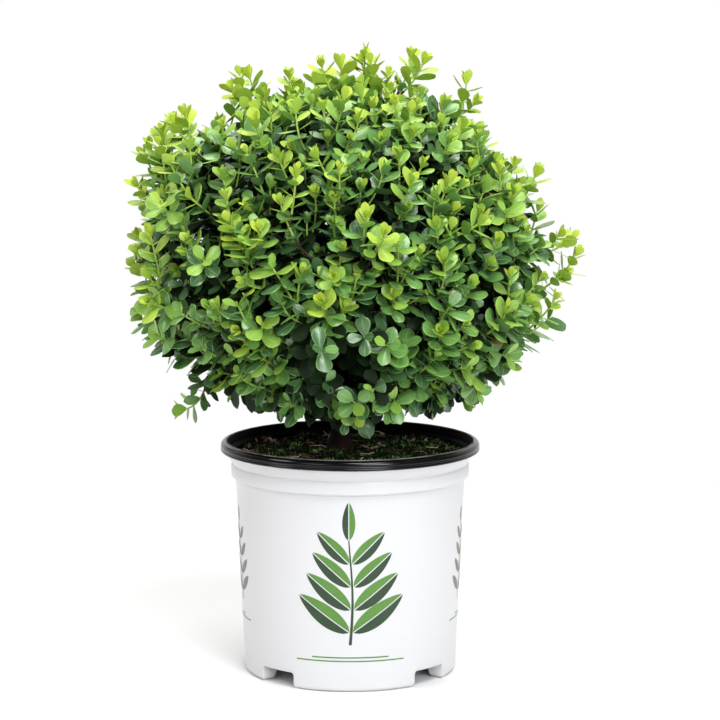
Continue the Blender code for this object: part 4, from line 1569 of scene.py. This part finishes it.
leafing = {
    # the pairs nearest a shoot's end: back from it, leaf length in mm, spread, form, age
    "flush": (
        (-3.2, (5.5, 7.5), 11.0, "young", 0.0),
        (-0.8, (10.0, 13.0), 23.0, "spoon", 0.12),
        (3.4, (13.0, 16.5), 36.0, "spoon", 0.75),
        (8.8, (15.5, 19.5), 46.0, "broad", 1.3),
    ),
    "resting": (
        (-1.5, (4.5, 6.5), 20.0, "young", 0.9),
        (0.5, (13.0, 17.5), 50.0, "spoon", 1.5),
        (4.5, (17.0, 22.0), 66.0, "broad", 2.0),
    ),
    # the pairs behind them
    "bareShare": 0.14,  # of a shoot, from where it leaves the wood
    "gap": (6.8 * mm, 10.0 * mm),
    "length": (17.0 * mm, 23.0 * mm),
    "spread": (44.0, 68.0),
    "ageStep": 0.42,
    "vigour": (0.82, 1.12),
    "sizeJitter": (0.9, 1.1),
    "widthJitter": (0.9, 1.12),
    "twist": 0.2,  # radians, from pair to pair
    "opening": 9.0,  # degrees
    "droop": 0.10,
    "turnToLight": (0.1, 0.8),
    # below a height leaves are larger by this share, and darker by a year's tone as painted shade
    # under the crown, so far down
    "lowFrom": 370.0 * mm,
    "lowDepth": 150.0 * mm,
    "lowSize": 0.06,
    "toneJitter": 0.34,
    "skipped": 0.12,  # share of the inner pairs
    "floor": (227.0 * mm, 206.0 * mm),  # no leaf ends below it: most shoots, drooping ones
    "paintedDepthShade": (9.0, 3.5),  # painted shade, darker with depth in the crown: most shoots, those that stand out
    "fineFrom": 0.79,  # share of the crown's reach
    "tanShare": 0.0015,
}


def pathLength(path):
    return sum((b - a).length for a, b in zip(path, path[1:]))


def pointBack(path, distance):  # the point and the way it runs, a distance back from the end
    for outer, inner in zip(path[::-1], path[-2::-1]):
        step = (outer - inner).length
        if distance <= step:
            return outer.lerp(inner, distance / step), (outer - inner).normalized()
        distance -= step
    return path[0], (path[1] - path[0]).normalized()


def leafPairs(shoot, chance):
    leafy = pathLength(shoot.path)
    leafy -= leafy * leafing["bareShare"]
    for back, (short, long), spread, form, age in leafing["flush" if shoot.flush else "resting"]:
        yield back * mm, chance.uniform(short, long) * mm, spread, form, age
    back *= mm
    while True:
        back += chance.uniform(*leafing["gap"])
        if back > leafy:
            return
        age += leafing["ageStep"]
        form = "oval" if chance.random() < 0.5 else "broad"
        size = chance.uniform(*leafing["length"])
        yield back, size, chance.uniform(*leafing["spread"]), form, age


def leafTurn(along, upper):
    upper = (upper - along * upper.dot(along)).normalized()
    return np.array((along.cross(upper), along, upper)).T


def placeLeaves(shoot, chance):  # gives the count of leaves, and how many of them are fine
    total = fineTotal = 0
    standing = shoot.kind in ("leader", "low")
    turn = chance.uniform(0.0, math.pi)
    lowness = max(0.0, (leafing["lowFrom"] - shoot.path[-1].z) / leafing["lowDepth"])
    vigour = chance.uniform(*leafing["vigour"]) * (1.0 + leafing["lowSize"] * lowness) * shoot.size
    for back, size, spread, form, age in leafPairs(shoot, chance):
        if shoot.kind == "inner" and chance.random() < leafing["skipped"]:
            continue
        base, along = pointBack(shoot.path, max(0.0, back))
        base = base - along * min(0.0, back) * 0.4
        fromCentre = base - crown["centre"]
        share = fromCentre.length / crownReach(fromCentre.normalized())
        fine = shoot.kind != "inner" and share > leafing["fineFrom"]
        light = (up * 0.8 + fromCentre.normalized() * 0.5).normalized()
        side, other = across(along)
        turn += math.pi / 2 + chance.uniform(-leafing["twist"], leafing["twist"])
        outwards = side * math.cos(turn) + other * math.sin(turn)
        for out in (outwards, -outwards):
            opened = spread + chance.uniform(-leafing["opening"], leafing["opening"])
            opened = math.radians(opened)
            pointing = along * math.cos(opened) + out * math.sin(opened)
            pointing = (pointing - up * chance.uniform(0.0, leafing["droop"])).normalized()
            upper = along * math.sin(opened) - out * math.cos(opened)
            if age > 1.0:
                upper = upper + light * chance.uniform(*leafing["turnToLight"])
            scale = size * vigour * chance.uniform(*leafing["sizeJitter"])
            shape = leafTurn(pointing, upper) * scale
            shape[:, 0] *= chance.uniform(*leafing["widthJitter"])
            # painted shade: leaves darker the deeper they sit in the crown
            tone = age + shoot.bias + (1.0 - min(share, 1.0)) * leafing["paintedDepthShade"][standing]
            # lowness adds painted shade, darker towards the foot of the crown
            tone = tone + lowness + chance.gauss(0.0, leafing["toneJitter"])
            slot = int(min(shadeSlot, max(0.0, tone)))
            if (base + pointing * scale).z < leafing["floor"][standing]:
                continue
            # midrib and margin one tone lighter: on the margin this is a painted edge highlight
            ribAndLitEdgeSlot = max(0, slot - 1) if slot < shadeSlot else slot
            under = undersideSlot if slot == shadeSlot - 1 else slot
            if slot > 1 and chance.random() < leafing["tanShare"]:
                slot = ribAndLitEdgeSlot = under = tanSlot
            leaves = shoot.mass.leaves.setdefault((form, fine), [])
            leaves.append((shape, np.array(base), (slot, ribAndLitEdgeSlot, under)))
            total += 1
            fineTotal += fine
    return total, fineTotal


def makeLeaves():
    counts = []
    for number, shoot in enumerate(shoots):
        chance = random.Random(f"{growth['seed']} leaves {number}")
        counts.append(placeLeaves(shoot, chance))
    total, fineTotal = np.sum(counts, axis=0)
    print(f"leaves: {total}, of them fine: {fineTotal}")
    for mass in masses:
        batch = Batch()
        for key, leaves in mass.leaves.items():
            points, corners, sizes, parts, maps = leafShapes[key]
            turns, bases, slots = (np.array(column) for column in zip(*leaves))
            points = np.einsum("lij,pj->lpi", turns, points) + bases[:, None, :]
            many, each = points.shape[:2]
            batch.add(
                points.reshape(-1, 3),
                (corners + (np.arange(many) * each)[:, None]).ravel(),
                np.tile(sizes, many),
                slots[:, parts].ravel(),
                np.tile(maps, (many, 1)),
            )
        piece = batch.piece("leaves_" + mass.name, leafFinishes)
        finishPiece(piece, ["foliage_" + mass.name])


makeLeaves()


twigs = {
    "woodSides": 7,
    "shootSides": 5,
    "woody": (3, 5),  # points of a shoot that are bark: an outer shoot, an inner one
    "finishes": [
        mottledFinish(
            "twig bark", (0.022, 0.013, 0.008), (0.060, 0.036, 0.020), patches=180.0,
            grain=700.0, relief=0.6, depth=0.4, roughness=(0.75, 0.9),
        ),
        mottledFinish(
            "green shoot", (0.27, 0.44, 0.06), (0.36, 0.50, 0.08), patches=150.0,
            grain=900.0, relief=0.3, depth=0.2, roughness=(0.42, 0.52),
        ),
    ],
}


def makeTwigs():
    for mass in masses:
        batch = Batch()
        for path, radii in mass.wood:
            batch.addTube(path, radii, twigs["woodSides"], 0)
        for shoot in shoots:
            if shoot.mass is not mass or not shoot.radii:
                continue
            thick, thin = shoot.radii
            middle = thick + (thin - thick) * 0.45
            woody = twigs["woody"][shoot.kind == "inner"]
            batch.addTube(shoot.path[:woody], (thick, middle), twigs["shootSides"], 0)
            batch.addTube(shoot.path[woody - 1 :], (middle, thin), twigs["shootSides"], 1)
        piece = batch.piece("twigs_" + mass.name, twigs["finishes"])
        finishPiece(piece, ["foliage_" + mass.name])


makeTwigs()
print("leaves and twigs are joined")
